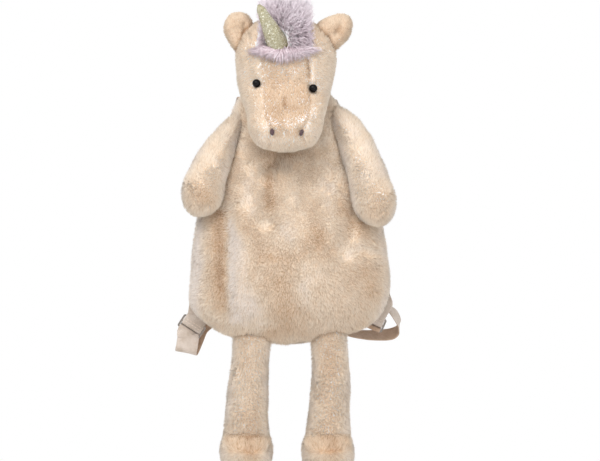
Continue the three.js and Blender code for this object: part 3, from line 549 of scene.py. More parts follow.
def tree_of(me):
    return BVHTree.FromPolygons(points_of(me).tolist(), triangles_of(me).tolist())


def clearance(tree, p, reach):
    """How far each point is outside that surface, below 0 inside it, up to the reach."""
    out = np.full(len(p), float(reach))
    for i, q in enumerate(p.tolist()):
        at, n, _, d = tree.find_nearest(q, reach)
        if at is not None:
            out[i] = d if (q[0] - at[0]) * n[0] + (q[1] - at[1]) * n[1] + (q[2] - at[2]) * n[2] > 0 else -d
    return out


SKIN = 4.3  # the skin lies this far inside the outline over the pile

SOFT = {}  # name: what the simulation and the pile need to know about a stuffed piece


def stuffed(name, form, rings, segs, inset, voxel, pins=None, **ends):
    verts, quads, tris = closed(form.grid(rings, segs, -inset, **ends))
    me = with_modifier(name, mesh_of(name, verts, quads, tris), "REMESH", mode="VOXEL", voxel_size=voxel * MM, adaptivity=0)
    relax(me, 4)
    p = points_of(me)
    SOFT[name] = {"mesh": me, "pin": pins(p) if pins else np.zeros(len(p))}


def inflate(names, cap):
    """Air pressure in every stuffed piece at once, held along its seams, then capped."""
    work = []
    for name in names:
        me = SOFT[name]["mesh"]
        obj = bpy.data.objects.new("work_" + name, me)
        SCENE.collection.objects.link(obj)
        group = obj.vertex_groups.new(name="held")
        pin = SOFT[name]["pin"]
        for step in range(1, 11):
            chosen = np.nonzero((pin > (step - 0.5) / 10) & (pin <= (step + 0.5) / 10))[0]
            if len(chosen):
                group.add(chosen.tolist(), step / 10, "REPLACE")
        mod = obj.modifiers.new("Cloth", "CLOTH")
        s = mod.settings
        s.quality = 4
        s.mass = 0.25
        s.tension_stiffness = s.compression_stiffness = 12
        s.shear_stiffness = 4
        s.bending_stiffness = 0.4
        s.use_pressure = True
        s.uniform_pressure_force = 4
        s.effector_weights.gravity = 0
        s.vertex_group_mass = "held"
        mod.collision_settings.use_collision = False
        mod.collision_settings.use_self_collision = False
        mod.point_cache.frame_start, mod.point_cache.frame_end = 1, 20
        work.append((name, obj))
    for f in range(1, 21):
        SCENE.frame_set(f)
    depsgraph = bpy.context.evaluated_depsgraph_get()
    for name, obj in work:
        got = points_of(obj.evaluated_get(depsgraph).data)
        rest, n = points_of(obj.data), normals_of(obj.data)
        move = got - rest
        free = SOFT[name]["pin"] < 0.3
        move -= n * (move * n).sum(1)[free].mean()  # the outline stays, and the seams are drawn in
        size = np.linalg.norm(move, axis=1, keepdims=True)
        move *= np.minimum(1, cap / np.maximum(size, 1e-6))
        set_points(obj.data, rest + move)
        bpy.data.objects.remove(obj)
    SCENE.frame_set(1)


# ---------- node materials ----------
def material(name):
    mat = bpy.data.materials.new(name)
    mat.use_nodes = True
    tree = mat.node_tree
    tree.nodes.clear()
    out = tree.nodes.new("ShaderNodeOutputMaterial")
    shader = tree.nodes.new("ShaderNodeBsdfPrincipled")
    tree.links.new(shader.outputs["BSDF"], out.inputs["Surface"])
    return mat, tree, shader


def node(tree, kind, values=None, **links):
    n = tree.nodes.new(kind)
    for key, value in (values or {}).items():
        if isinstance(key, int) or key in n.inputs:
            n.inputs[key].default_value = value
        else:
            setattr(n, key, value)
    for key, socket in links.items():
        key = key.replace("_", " ")
        tree.links.new(socket, n.inputs[int(key[1:])] if key[0] == "i" and key[1:].isdigit() else n.inputs[key])
    return n


def ramp(tree, socket, stops, mode="LINEAR"):
    n = tree.nodes.new("ShaderNodeValToRGB")
    n.color_ramp.interpolation = mode
    e = n.color_ramp.elements
    while len(e) < len(stops):
        e.new(0.5)
    for element, (at, colour) in zip(e, stops):
        element.position = at
        element.color = (*[(c / 255 / 12.92) if c / 255 <= 0.04045 else ((c / 255 + 0.055) / 1.055) ** 2.4 for c in colour], 1)
    tree.links.new(socket, n.inputs["Fac"])
    return n.outputs["Color"]


def maths(tree, operation, a, b):
    n = tree.nodes.new("ShaderNodeMath")
    n.operation = operation
    for i, v in enumerate((a, b)):
        if isinstance(v, (int, float)):
            n.inputs[i].default_value = v
        elif v is not None:
            tree.links.new(v, n.inputs[i])
    return n.outputs[0]


def mixed(tree, kind, factor, a, b):
    n = tree.nodes.new("ShaderNodeMix")
    n.data_type = "RGBA"
    n.blend_type = kind
    for i, v in ((0, factor), (6, a), (7, b)):
        if isinstance(v, bpy.types.NodeSocket):
            tree.links.new(v, n.inputs[i])
        else:
            n.inputs[i].default_value = v
    return n.outputs[2]


def object_noise(tree, size, detail=3.0, rough=0.6):
    """Noise over the object's own coordinates, with features of that size in metres."""
    coords = tree.nodes.new("ShaderNodeTexCoord")
    return node(tree, "ShaderNodeTexNoise", {"Scale": 1 / size, "Detail": detail, "Roughness": rough}, Vector=coords.outputs["Object"]).outputs["Fac"]


def bumped(tree, shader, height, strength, distance):
    n = node(tree, "ShaderNodeBump", {"Strength": strength, "Distance": distance}, Height=height)
    tree.links.new(n.outputs["Normal"], shader.inputs["Normal"])


def pile_material(name, root, tip, sheen_tint, mottle=0.10, sheen=0.35):
    """Pile fibres: red of the attribute runs from root to tip, the root end darker partly with painted shade, green is
    the tone of the spot with its painted shade and light, blue differs by tuft.
    """
    mat, tree, shader = material(name)
    attribute = tree.nodes.new("ShaderNodeAttribute")
    attribute.attribute_name = "pile"
    split = node(tree, "ShaderNodeSeparateColor", Color=attribute.outputs["Color"])
    along, tone, each = split.outputs[0], split.outputs[1], split.outputs[2]
    low = ramp(tree, tone, root)
    high = ramp(tree, tone, tip)
    # tufts run from the root colour to the tip colour: partly the pile's own tan roots, partly painted shade deep in
    # the pile
    colour = mixed(tree, "MIX", ramp(tree, along, [(0.0, (0, 0, 0)), (0.25, (70, 70, 70)), (0.75, (225, 225, 225)), (1.0, (255, 255, 255))]), low, high)
    shade = maths(tree, "MULTIPLY_ADD", each, 0.16)
    shade.node.inputs[2].default_value = 0.92
    fine = maths(tree, "MULTIPLY_ADD", object_noise(tree, 0.009), mottle * 2)
    fine.node.inputs[2].default_value = 1 - mottle
    both = maths(tree, "MULTIPLY", shade, fine)
    scaled = node(tree, "ShaderNodeVectorMath", {"operation": "SCALE"}, i0=colour)
    tree.links.new(both, scaled.inputs["Scale"])
    tree.links.new(scaled.outputs[0], shader.inputs["Base Color"])
    bumped(tree, shader, object_noise(tree, 0.0012, 2.0), 0.35, 0.0006)
    shader.inputs["Roughness"].default_value = 0.92
    shader.inputs["Specular IOR Level"].default_value = 0.0
    shader.inputs["Sheen Weight"].default_value = sheen
    shader.inputs["Sheen Roughness"].default_value = 0.45
    shader.inputs["Sheen Tint"].default_value = (*sheen_tint, 1)
    return mat


PLUSH = pile_material(
    "plush",
    [(0.0, (150, 110, 80)), (0.35, (198, 164, 133)), (0.65, (220, 195, 168)), (1.0, (230, 213, 197))],
    [(0.0, (200, 168, 138)), (0.35, (231, 209, 184)), (0.65, (242, 227, 209)), (1.0, (248, 238, 230))],
    (1.0, 0.94, 0.90), mottle=0.07, sheen=0.0,
)
MANE_HAIR = pile_material(
    "mane_hair",
    [(0.0, (160, 134, 140)), (0.5, (208, 191, 197)), (1.0, (232, 221, 226))],
    [(0.0, (206, 186, 192)), (0.5, (234, 222, 228)), (1.0, (250, 245, 249))],
    (0.98, 0.93, 1.0), mottle=0.05, sheen=0.2,
)


def horn_material():
    mat, tree, shader = material("horn_glitter")
    coords = tree.nodes.new("ShaderNodeTexCoord")
    flakes = node(tree, "ShaderNodeTexVoronoi", {"Scale": 1 / 0.0011}, Vector=coords.outputs["Object"])
    pick = node(tree, "ShaderNodeSeparateColor", Color=flakes.outputs["Color"])
    base = ramp(tree, pick.outputs[0], [(0.0, (134, 129, 106)), (0.35, (152, 146, 121)), (0.6, (160, 155, 131)), (0.88, (173, 169, 147)), (0.96, (206, 204, 190)), (1.0, (220, 219, 206))])
    large = object_noise(tree, 0.012)
    colour = mixed(tree, "MULTIPLY", 1.0, base, ramp(tree, large, [(0.3, (240, 236, 220)), (0.55, (255, 255, 255)), (0.75, (246, 248, 236))]))
    tree.links.new(colour, shader.inputs["Base Color"])
    tree.links.new(ramp(tree, pick.outputs[1], [(0.0, (110, 110, 110)), (0.7, (170, 170, 170)), (1.0, (100, 100, 100))]), shader.inputs["Roughness"])
    tree.links.new(ramp(tree, pick.outputs[2], [(0.0, (20, 20, 20)), (0.7, (50, 50, 50)), (0.9, (130, 130, 130))]), shader.inputs["Metallic"])
    bumped(tree, shader, flakes.outputs["Distance"], 0.35, 0.0003)
    return mat


def bead_material():
    mat, tree, shader = material("eye_bead")
    tree.links.new(ramp(tree, object_noise(tree, 0.004), [(0.3, (4, 3, 4)), (0.7, (10, 8, 9))]), shader.inputs["Base Color"])
    tree.links.new(ramp(tree, object_noise(tree, 0.0015, 4.0), [(0.3, (12, 12, 12)), (0.8, (34, 34, 34))]), shader.inputs["Roughness"])
    shader.inputs["Specular IOR Level"].default_value = 0.12
    shader.inputs["Coat Weight"].default_value = 0.06
    shader.inputs["Coat Roughness"].default_value = 0.03
    return mat


def webbing_material(name, dark, light, pitch=0.0011, underside_shade=(255, 255, 255)):
    """Close cotton webbing: the attribute holds the place along and across, in metres, and the face; the underside gets
    a painted shade.
    """
    mat, tree, shader = material(name)
    attribute = tree.nodes.new("ShaderNodeAttribute")
    attribute.attribute_name = "weave"
    split = node(tree, "ShaderNodeSeparateXYZ", Vector=attribute.outputs["Vector"])
    u, v = split.outputs[0], split.outputs[1]
    along = maths(tree, "MULTIPLY", u, 1 / pitch)
    across = maths(tree, "MULTIPLY", v, 1 / (pitch * 0.9))
    row = maths(tree, "FLOOR", across, None)
    offset = maths(tree, "MULTIPLY", maths(tree, "MODULO", row, 2.0), 0.5)
    pick_u = maths(tree, "FRACT", maths(tree, "ADD", along, offset), None)
    pick_v = maths(tree, "FRACT", across, None)
    hump_u = maths(tree, "SINE", maths(tree, "MULTIPLY", pick_u, math.pi), None)
    hump_v = maths(tree, "SINE", maths(tree, "MULTIPLY", pick_v, math.pi), None)
    height = maths(tree, "MULTIPLY", maths(tree, "POWER", hump_u, 0.6), maths(tree, "POWER", hump_v, 0.6))
    # the weave runs from dark in the hollows between threads to light on their crowns: painted shade and light
    thread = ramp(tree, height, [(0.0, dark), (0.55, light), (1.0, tuple(min(c + 10, 255) for c in light))])
    cloud = ramp(tree, object_noise(tree, 0.011), [(0.3, (226, 220, 212)), (0.6, (255, 255, 255)), (0.8, (246, 238, 232))])
    # painted shade on the webbing's underside, from the face flag in the weave attribute
    face = ramp(tree, split.outputs[2], [(0.0, underside_shade), (0.5, underside_shade), (1.0, (255, 255, 255))])
    tree.links.new(mixed(tree, "MULTIPLY", 1.0, mixed(tree, "MULTIPLY", 1.0, thread, cloud), face), shader.inputs["Base Color"])
    bumped(tree, shader, height, 0.7, 0.0003)
    shader.inputs["Roughness"].default_value = 0.88
    shader.inputs["Specular IOR Level"].default_value = 0.25
    shader.inputs["Sheen Weight"].default_value = 0.12
    return mat


def metal_material(name, tint, rough):
    mat, tree, shader = material(name)
    grain = object_noise(tree, 0.0007, 3.0)
    wear = object_noise(tree, 0.006, 4.0)
    low, high = tuple(int(c * 0.86) for c in tint), tint
    tree.links.new(ramp(tree, wear, [(0.3, low), (0.65, high)]), shader.inputs["Base Color"])
    tree.links.new(ramp(tree, grain, [(0.3, (rough - 16,) * 3), (0.7, (rough + 26,) * 3)]), shader.inputs["Roughness"])
    shader.inputs["Metallic"].default_value = 1.0
    bumped(tree, shader, grain, 0.15, 0.0001)
    return mat


def thread_material(name, dark, light, size=0.0009):
    mat, tree, shader = material(name)
    tree.links.new(ramp(tree, object_noise(tree, size, 2.0), [(0.3, dark), (0.7, light)]), shader.inputs["Base Color"])
    bumped(tree, shader, object_noise(tree, size / 2, 1.0), 0.4, 0.0002)
    shader.inputs["Roughness"].default_value = 0.7
    shader.inputs["Sheen Weight"].default_value = 0.15
    return mat


HORN_GLITTER = horn_material()
BEAD = bead_material()
WEBBING = webbing_material("webbing", (156, 140, 126), (198, 186, 176), underside_shade=(246, 226, 208))
TAPE = webbing_material("zip_tape", (170, 150, 128), (212, 196, 176), 0.0008)
METAL = metal_material("slider_metal", (152, 142, 134), 96)
COIL = thread_material("zip_coil", (196, 178, 156), (222, 208, 190), 0.003)
THREAD = thread_material("thread", (206, 188, 170), (236, 222, 208))
NOSE_THREAD = thread_material("nose_thread", (52, 34, 38), (96, 72, 76))
SEAM_THREAD = thread_material("seam_thread", (150, 116, 88), (186, 150, 118))

# ---------- stuffed pieces ----------
def bag_pins(p):
    (cx, hw, yf, yb, ys), _ = bag_form.rows(p[:, 2], -SKIN)
    side = np.exp(-(((p[:, 1] - ys) / 4) ** 2)) * (bag_form.level(p, -SKIN) > 0.9)
    folds = sum(np.exp(-((to_segment(p[:, 0], p[:, 2], *f[:4]) / 6) ** 2)) for f in FOLDS if f[5] > 3) * (p[:, 1] < ys)
    flat = smooth(-16, -9, p[:, 1]) * 0.9  # the back panel stays nearly flat
    return np.clip(np.maximum(np.maximum(side, folds), flat), 0, 1)


def head_pins(p):
    front = p[:, 1] < head_form.rows(p[:, 2])[0][4]
    near = sum(np.exp(-((to_line(p[:, 0], p[:, 2], s) / 4) ** 2)) for s in FACE_SEAMS[:2])
    return np.clip(near * front, 0, 1)


stuffed("bag", bag_form, 64, 84, SKIN, 4.2, bag_pins, tall=-2.0)
stuffed("head", head_form, 48, 56, SKIN - 0.9, 3.4, head_pins, tall=-1.5)
for side in ("left", "right"):
    stuffed(f"ear_{side}", ear_forms[side], 22, 30, SKIN - 1.4, 2.4, tall=-1.5)
    stuffed(f"arm_{side}", arm_forms[side], 30, 34, SKIN, 3.4)
    stuffed(f"leg_{side}", leg_forms[side], 28, 34, SKIN - 0.3, 3.4, tall=-3.0, below=9)
    stuffed(f"foot_{side}", foot_forms[side], 24, 34, SKIN - 0.4, 3.2, tall=-3.4, above=9)
inflate(list(SOFT), 4.0)


# ---------- sculpted folds and seams, after the remesh ----------
def sculpt_bag(p, n):
    front = smooth(0.0, 0.5, -n[:, 1])
    x, z = p[:, 0], p[:, 2]
    move = sum(stroke(x, z, f) for f in FOLDS) * front
    move += 1.1 * noise(p, 34, 3) + 0.6 * noise(p, 17, 5)
    # a curved fold under the right arm, puckers where the legs are sewn on, and the side seam
    move += 1.2 * np.exp(-((to_line(x, z, [(58, -218), (78, -206), (100, -212)]) / 6) ** 2)) * front
    for cx, zz in ((-41, -303), (44, -300)):
        move += 0.8 * np.exp(-(((x - cx) / 26) ** 2) - ((z - zz) / 7) ** 2)
    (_, _, _, _, ys), _ = bag_form.rows(z, -SKIN)
    seam = np.exp(-(((p[:, 1] - ys) / 2.6) ** 2)) * smooth(0.8, 0.95, np.abs(n[:, 0]) + np.abs(n[:, 2]))
    move += 1.8 * seam
    return p - n * move[:, None]


def sculpt_head(p, n):
    front = smooth(0.05, 0.5, -n[:, 1])
    x, z = p[:, 0], p[:, 2]
    move = sum(1.1 * np.exp(-((to_line(x, z, s) / 3.0) ** 2)) for s in FACE_SEAMS[:2])
    move += 1.8 * np.exp(-((to_line(x, z, [(20.5, 0), (23.0, -18)]) / 2.6) ** 2))
    move += sum(2.4 * np.exp(-((to_line(x, z, s) / 2.2) ** 2)) for s in FACE_SEAMS[2:])
    move += 2.0 * np.exp(-(((x + 4.8) / 2.2) ** 2) - (np.maximum(np.abs(z + 48.4) - 4.5, 0) / 3.0) ** 2)
    for ex, ez in EYES:
        move += 3.2 * np.exp(-(((x - ex) ** 2 + (z - ez) ** 2) / 49))
    for (nx, nz), w, h, _ in NOSTRILS:
        move += 2.6 * np.exp(-(((x - nx) / 5) ** 2) - ((z - nz) / 6) ** 2)
    move -= 2.0 * np.exp(-(((x + 41) / 11) ** 2) - ((z + 66) / 20) ** 2)   # full cheeks outside the seams
    move -= 2.0 * np.exp(-(((x - 34) / 10) ** 2) - ((z + 64) / 20) ** 2)
    move -= 0.8 * np.exp(-(((x + 3) / 18) ** 2) - ((z + 72) / 12) ** 2)     # the nose stands a little proud
    move -= 1.4 * np.exp(-(((x + 4) / 18) ** 2) - ((z + 90) / 6) ** 2)     # and so does the lip
    move += 0.8 * np.exp(-(((x + 3) / 17) ** 2) - ((z + 83) / 4) ** 2)     # the line between them
    move += 0.9 * noise(p, 26, 21) + 0.4 * noise(p, 13, 22)
    corner = (3.6 + 1.2 * (x < 0)) * np.exp(-(((z + 92) / 9) ** 2)) * smooth(0.15, 0.75, np.abs(n[:, 0]))
    corner += 1.4 * np.exp(-(((z + 74) / 12) ** 2)) * smooth(0.3, 0.9, np.abs(n[:, 0]))
    return p - n * (move * front)[:, None] - n * (0.5 * noise(p, 30, 25) * (1 - front) - corner)[:, None]


def sculpt_ear(side):
    lines = {"left": [[(-48.5, 38), (-47.5, 18)], [(-40, 26), (-43, 20)]], "right": [[(55.5, 37), (52, 27)], [(34, 14), (42, 22)]]}[side]

    def shape(p, n):
        front = smooth(0.1, 0.6, -n[:, 1])
        x, z = p[:, 0], p[:, 2]
        cx = ear_forms[side].rows(z)[0][0]
        move = sum(3.0 * np.exp(-((to_line(x, z, l) / 3.0) ** 2)) for l in lines)
        move += 4.0 * np.exp(-(((x - cx) / 8) ** 2) - ((z - 27) / 12) ** 2)  # the hollow of the ear
        return p - n * (move * front)[:, None] - n * (0.5 * noise(p, 15, 31))[:, None]

    return shape


def sculpt_arm(side):
    def shape(p, n):
        x, z = p[:, 0], p[:, 2]
        front = smooth(0.0, 0.5, -n[:, 1])
        move = 0.9 * noise(p, 22, 41) + 0.5 * noise(p, 11, 42)
        if side == "left":
            for line in ([(-101, -158), (-93, -161), (-86, -158)], [(-99, -164), (-91, -166)]):
                move += 1.5 * np.exp(-((to_line(x, z, line) / 2.4) ** 2)) * front
        else:
            move += 1.4 * np.exp(-((to_line(x, z, [(88, -165), (98, -168), (106, -162)]) / 2.6) ** 2)) * front
        return p - n * move[:, None]

    return shape


JOIN = -414.2  # the seam between leg and foot


def sculpt_leg(side):
    def shape(p, n):
        move = 0.8 * noise(p, 22, 51) + 0.5 * noise(p, 12, 52)
        q = p - n * move[:, None]
        q[:, 2] = np.maximum(q[:, 2], JOIN + 0.2)
        return q

    return shape


def sculpt_foot(side):
    def shape(p, n):
        move = 0.7 * noise(p, 20, 61) + 0.4 * noise(p, 11, 62)
        q = p - n * move[:, None]
        q[:, 2] = np.minimum(q[:, 2], JOIN - 0.2)
        return q

    return shape


SCULPT = {"bag": sculpt_bag, "head": sculpt_head}
for side in ("left", "right"):
    SCULPT[f"ear_{side}"] = sculpt_ear(side)
    SCULPT[f"arm_{side}"] = sculpt_arm(side)
    SCULPT[f"leg_{side}"] = sculpt_leg(side)
    SCULPT[f"foot_{side}"] = sculpt_foot(side)
for name, soft in SOFT.items():
    me = with_modifier(name, soft["mesh"], "SUBSURF", levels=1, render_levels=1)
    set_points(me, SCULPT[name](points_of(me), normals_of(me)))
    soft["mesh"] = me
NEIGHBOURS = {"bag": ["head", "arm_left", "arm_right", "leg_left", "leg_right"], "head": ["bag", "ear_left", "ear_right", "arm_left", "arm_right"]}
for name, cut in (
    ("head", ["bag"]), ("ear_left", ["head"]), ("ear_right", ["head"]), ("arm_left", ["bag", "head"]),
    ("arm_right", ["bag", "head"]), ("leg_left", ["bag"]), ("leg_right", ["bag"]),
):
    SOFT[name]["mesh"] = without(name, SOFT[name]["mesh"], [SOFT[c]["mesh"] for c in cut])
    NEIGHBOURS.setdefault(name, cut)
for side in ("left", "right"):
    NEIGHBOURS[f"leg_{side}"].append(f"foot_{side}")
    NEIGHBOURS[f"foot_{side}"] = [f"leg_{side}"]
TREES = {name: tree_of(soft["mesh"]) for name, soft in SOFT.items()}


# ---------- tone of the pile: 0 in a crease, about 0.4 tan, 0.65 cream, 1 pale; darker tones in creases, folds and hollows are painted shade, paler sides are painted light ---
def tone_bag(p, n):
    x, z = p[:, 0], p[:, 2]
    front = smooth(-0.1, 0.4, -n[:, 1])
    t = 0.60 + 0.09 * noise(p * (1, 1, 0.6), 20, 71) + 0.07 * noise(p, 8, 72)
    # painted shade in the folds and under the right arm, painted light on the ridges beside them, and the pile's own
    # tan and pale mottling
    t += front * sum(stroke(x, z, s) for s in BAG_MOTTLE_AND_SHADE_STROKES)
    # painted light: paler where the pile faces sideways
    t += 0.22 * smooth(0.45, 0.95, np.abs(n[:, 0]))
    t -= 0.24 * np.exp(-(((x + 4) / 32) ** 2) - ((z + 104) / 7) ** 2) * front  # painted shade under the chin
    return t


def tone_head(p, n):
    x, z = p[:, 0], p[:, 2]
    front = smooth(-0.1, 0.4, -n[:, 1])
    left = np.interp(-z, [2, 24, 48, 64, 75], [-29.7, -28.0, -27.0, -25.5, -20.5])
    right = np.interp(-z, [-2, 20, 44, 62, 74], [20.5, 23.0, 23.6, 22.0, 17.0])
    centre = smooth(-2, 2, x - left) * smooth(-2, 2, right - x) * smooth(-86, -82, z)
    t = 0.66 - 0.20 * centre + 0.06 * noise(p, 14, 81) + 0.05 * noise(p, 7, 82)
    t = np.where(front > 0.5, t, np.minimum(t, 0.78))
    # painted shade: in the groove at the right brow, along the face's seam grooves, where the front faces up, and in
    # the small dimple on the middle of the face
    t -= 0.30 * front * np.exp(-((to_line(x, z, [(20.5, -1), (22.5, -19)]) / 2.2) ** 2))
    t -= 0.14 * front * sum(np.exp(-((to_line(x, z, s) / 1.8) ** 2)) for s in FACE_SEAMS)
    t -= 0.16 * smooth(0.1, 0.5, n[:, 2]) * front
    t -= 0.35 * front * np.exp(-(((x + 4.8) / 1.8) ** 2) - (np.maximum(np.abs(z + 48.4) - 4.5, 0) / 2.0) ** 2)
    return t


def tone_ear(side):
    # painted shade in the folds and hollow of each ear and at the right ear's foot
    painted_shade_spots = {"left": [(-44, 26, 8, -0.30), (-48, 30, 3, -0.25)], "right": [(54, 32, 4, -0.35), (36, 15, 8, -0.35)]}[side]

    def tone(p, n):
        front = smooth(-0.1, 0.4, -n[:, 1])
        t = 0.44 + 0.08 * noise(p, 10, 91)
        for x, z, r, amount in painted_shade_spots:
            t += amount * front * np.exp(-(((p[:, 0] - x) ** 2 + (p[:, 2] - z) ** 2) / r**2))
        return t

    return tone


def tone_arm(side):
    spot = {"left": (-93.5, -148, 16, 13, -0.30), "right": (96, -158, 15, 16, -0.24)}[side]

    def tone(p, n):
        front = smooth(-0.1, 0.4, -n[:, 1])
        x, z, rx, rz, amount = spot
        t = 0.66 + 0.09 * noise(p, 14, 101) + 0.06 * noise(p, 7, 102)
        t += amount * front * np.exp(-(((p[:, 0] - x) / rx) ** 2) - ((p[:, 2] - z) / rz) ** 2)
        # painted light: paler where the pile faces sideways
        t += 0.14 * smooth(0.5, 0.95, np.abs(n[:, 0]))
        return t

    return tone


def tone_leg(side):
    cx = {"left": -44, "right": 45}[side]
    seam = {"left": [(-66, -413), (-56, -415), (-44, -417.5), (-32, -416.5)], "right": [(24, -404), (36, -411), (50, -414), (66, -413.5)]}[side]

    def tone(p, n):
        front = smooth(-0.1, 0.4, -n[:, 1])
        t = 0.64 + 0.10 * noise(p * (1, 1, 0.7), 13, 111) + 0.06 * noise(p, 6, 112)
        t -= 0.16 * front * np.exp(-(((p[:, 0] - cx) / 9) ** 2))
        # painted light where the pile faces sideways, and painted shade where the front faces up and in the crease of
        # the seam between leg and foot
        t += 0.12 * smooth(0.5, 0.95, np.abs(n[:, 0]))
        t -= 0.30 * smooth(0.1, 0.5, n[:, 2]) * front
        t -= 0.34 * front * np.exp(-((to_line(p[:, 0], p[:, 2], seam) / 1.5) ** 2))
        return t

    return tone


TONE = {"bag": tone_bag, "head": tone_head}
for side in ("left", "right"):
    TONE[f"ear_{side}"], TONE[f"arm_{side}"] = tone_ear(side), tone_arm(side)
    TONE[f"leg_{side}"] = TONE[f"foot_{side}"] = tone_leg(side)


# ---------- webbing paths, needed before the pile so that none grows through them ----------
def smooth_path(points, across, step=1.2):
    """Points at an even step along a polyline, with the direction across."""
    d = np.concatenate([[0], np.cumsum(np.linalg.norm(np.diff(points, axis=0), axis=1))])
    s = np.linspace(0, d[-1], max(int(d[-1] / step), 8) + 1)
    p = np.stack([np.interp(s, d, points[:, k]) for k in range(3)], 1)
    a = unit(np.stack([np.interp(s, d, across[:, k]) for k in range(3)], 1))
    return p, a, s


def around(slider, pairs):
    middle, across = np.array(slider[0], float), unit(np.array(slider[1], float))
    out = np.array([0.0, -1.0, 0.0])
    up = np.cross(out, across)
    rows = curve(pairs, np.linspace(0, len(pairs) - 1, (len(pairs) - 1) * 5 + 1))
    return middle + rows[:, :1] * out + rows[:, 1:2] * up, np.tile(across, (len(rows), 1))


def route(table, steps):
    rows = curve(table, np.linspace(0, len(table) - 1, steps + 1))
    return rows[:, :3], unit(rows[:, 3:6])


def joined(*parts):
    p, a = np.vstack([q[0] for q in parts]), np.vstack([q[1] for q in parts])
    for i in range(1, len(a)):
        if a[i] @ a[i - 1] < 0:
            a[i] = -a[i]
    keep = np.concatenate([[True], np.linalg.norm(np.diff(p, axis=0), axis=1) > 0.05])
    return p[keep], a[keep]


PATHS = {"hang_loop": (*joined(route(HANG_LOOP, 120)), LOOP_WIDTH)}
for side, slider, strap, slack in (
    ("left", SLIDER_LEFT, STRAP_LEFT, SLACK_LEFT), ("right", SLIDER_RIGHT, STRAP_RIGHT, SLACK_RIGHT),
):
    PATHS[f"strap_{side}"] = (*joined(route(strap, 130), around(slider, SEWN_END)), WEB_WIDTH)
    end = around(slider, SLACK_END)
    if side == "right":
        end = end[0][::-1], end[1][::-1]
    PATHS[f"strap_slack_{side}"] = (*joined(end, route(slack, 96)), WEB_WIDTH)

web_tree = KDTree(sum(len(p) for p, _, _ in PATHS.values()) * 5)
web_count = 0
for p, a, width in PATHS.values():
    for off in (-0.45, -0.22, 0, 0.22, 0.45):
        for q in p + a * width * off:
            web_tree.insert(q, web_count)
            web_count += 1
web_tree.balance()


def near_webbing(p, reach):
    """True where webbing lies close; only points behind the bag or at its sides are tested."""
    out = np.zeros(len(p), bool)
    for i in np.nonzero(p[:, 1] > -34)[0]:
        out[i] = web_tree.find(p[i])[2] < reach
    return out


# ---------- pile ----------
def spread(me, count, rng, weight=None):
    """Points spread evenly over a mesh, with their smooth normals."""
    p, n, t = points_of(me), normals_of(me), triangles_of(me)
    area = np.linalg.norm(np.cross(p[t[:, 1]] - p[t[:, 0]], p[t[:, 2]] - p[t[:, 0]]), axis=1)
    if weight is not None:
        area = area * weight(p[t].mean(1), unit(n[t].mean(1)))
    total = np.cumsum(area)
    pick = np.searchsorted(total, (np.arange(count) + rng.random(count)) / count * total[-1])
    pick = np.minimum(pick, len(t) - 1)
    u, v = rng.random(count), rng.random(count)
    flip = u + v > 1
    u, v = np.where(flip, 1 - u, u), np.where(flip, 1 - v, v)
    w = np.stack([1 - u - v, u, v], 1)[:, :, None]
    return (p[t[pick]] * w).sum(1), unit((n[t[pick]] * w).sum(1))


def clump_offset(p, size, seed):
    """From each point to the middle of its clump."""
    base = np.floor(p / size).astype(np.int64)
    best, out = np.full(len(p), 1e9), np.zeros_like(p)
    for dx in (-1, 0, 1):
        for dy in (-1, 0, 1):
            for dz in (-1, 0, 1):
                i, j, k = base[:, 0] + dx, base[:, 1] + dy, base[:, 2] + dz
                c = (np.stack([i, j, k], 1) + 0.5 + 0.42 * np.stack([lattice(i, j, k, seed + s) for s in (1, 2, 3)], 1)) * size
                d = ((c - p) ** 2).sum(1)
                nearer = d < best
                best = np.where(nearer, d, best)
                out[nearer] = (c - p)[nearer]
    return out


def tufts(name, p, n, nap, length, width, lift, tone, rng, clump=0.22, bend_normal=0.45, sink=0.8):
    """Closed three-sided tufts of pile."""
    count = len(p)
    turn = smooth(0.05, 0.5, n[:, 2] + 0.12 * noise(p, 9, 210))[:, None]  # where the skin faces up the pile is brushed up
    v = nap * (1 - turn) + (0, 0, 0.8) * turn + 0.42 * noise3(p, 16, 201) + 0.36 * noise3(p, 6, 204) + 0.25 * rng.normal(size=(count, 3))
    t = v - n * (v * n).sum(1, keepdims=True)
    t = unit(t)
    angle = np.radians(lift + 9 * noise(p, 11, 207) + 6 * rng.normal(size=count))
    d = unit(n * np.sin(angle)[:, None] + t * np.cos(angle)[:, None])
    reach = length * (0.93 + 0.14 * rng.random(count))
    pull = clump_offset(p, 5.5, 300)
    pull -= n * (pull * n).sum(1, keepdims=True)
    tip = p + d * reach[:, None] + pull * clump
    d = unit(tip - p)
    across = unit(np.cross(d, n) + 0.15 * rng.normal(size=(count, 3)))
    up = unit(np.cross(across, d))
    w = (width * (0.8 + 0.4 * rng.random(count)))[:, None]
    foot = p - n * sink
    verts = np.stack([foot - across * w / 2, foot + across * w / 2, foot + up * w * 0.62, tip], 1)
    base = np.arange(count)[:, None] * 4
    faces = np.concatenate([base + f for f in ([0, 1, 3], [1, 2, 3], [2, 0, 3], [1, 0, 2])], 0)
    a, b, c, e = (verts[:, k] for k in range(4))
    inward = ((np.cross(b - a, e - a) * (c - a)).sum(1) > 0)
    if inward.mean() > 0.5:
        faces = faces[:, ::-1]
    me = mesh_of(name, verts.reshape(-1, 3), faces)
    rand = rng.random(count)
    colour = np.zeros((count, 4, 4))
    colour[:, 3, 0] = 1.0
    colour[:, :, 1] = np.clip(tone, 0, 1)[:, None]
    colour[:, :, 2] = rand[:, None]
    colour[:, :, 3] = 1
    paint(me, "pile", colour.reshape(-1, 4))
    side = np.stack([unit(n - 0.22 * across), unit(n + 0.22 * across), unit(n + 0.15 * up), unit(n + bend_normal * d)], 1)
    me.normals_split_custom_set_from_vertices(side.reshape(-1, 3).astype(np.float32))
    return me


DOWN = np.array([0.0, 0.0, -1.0])


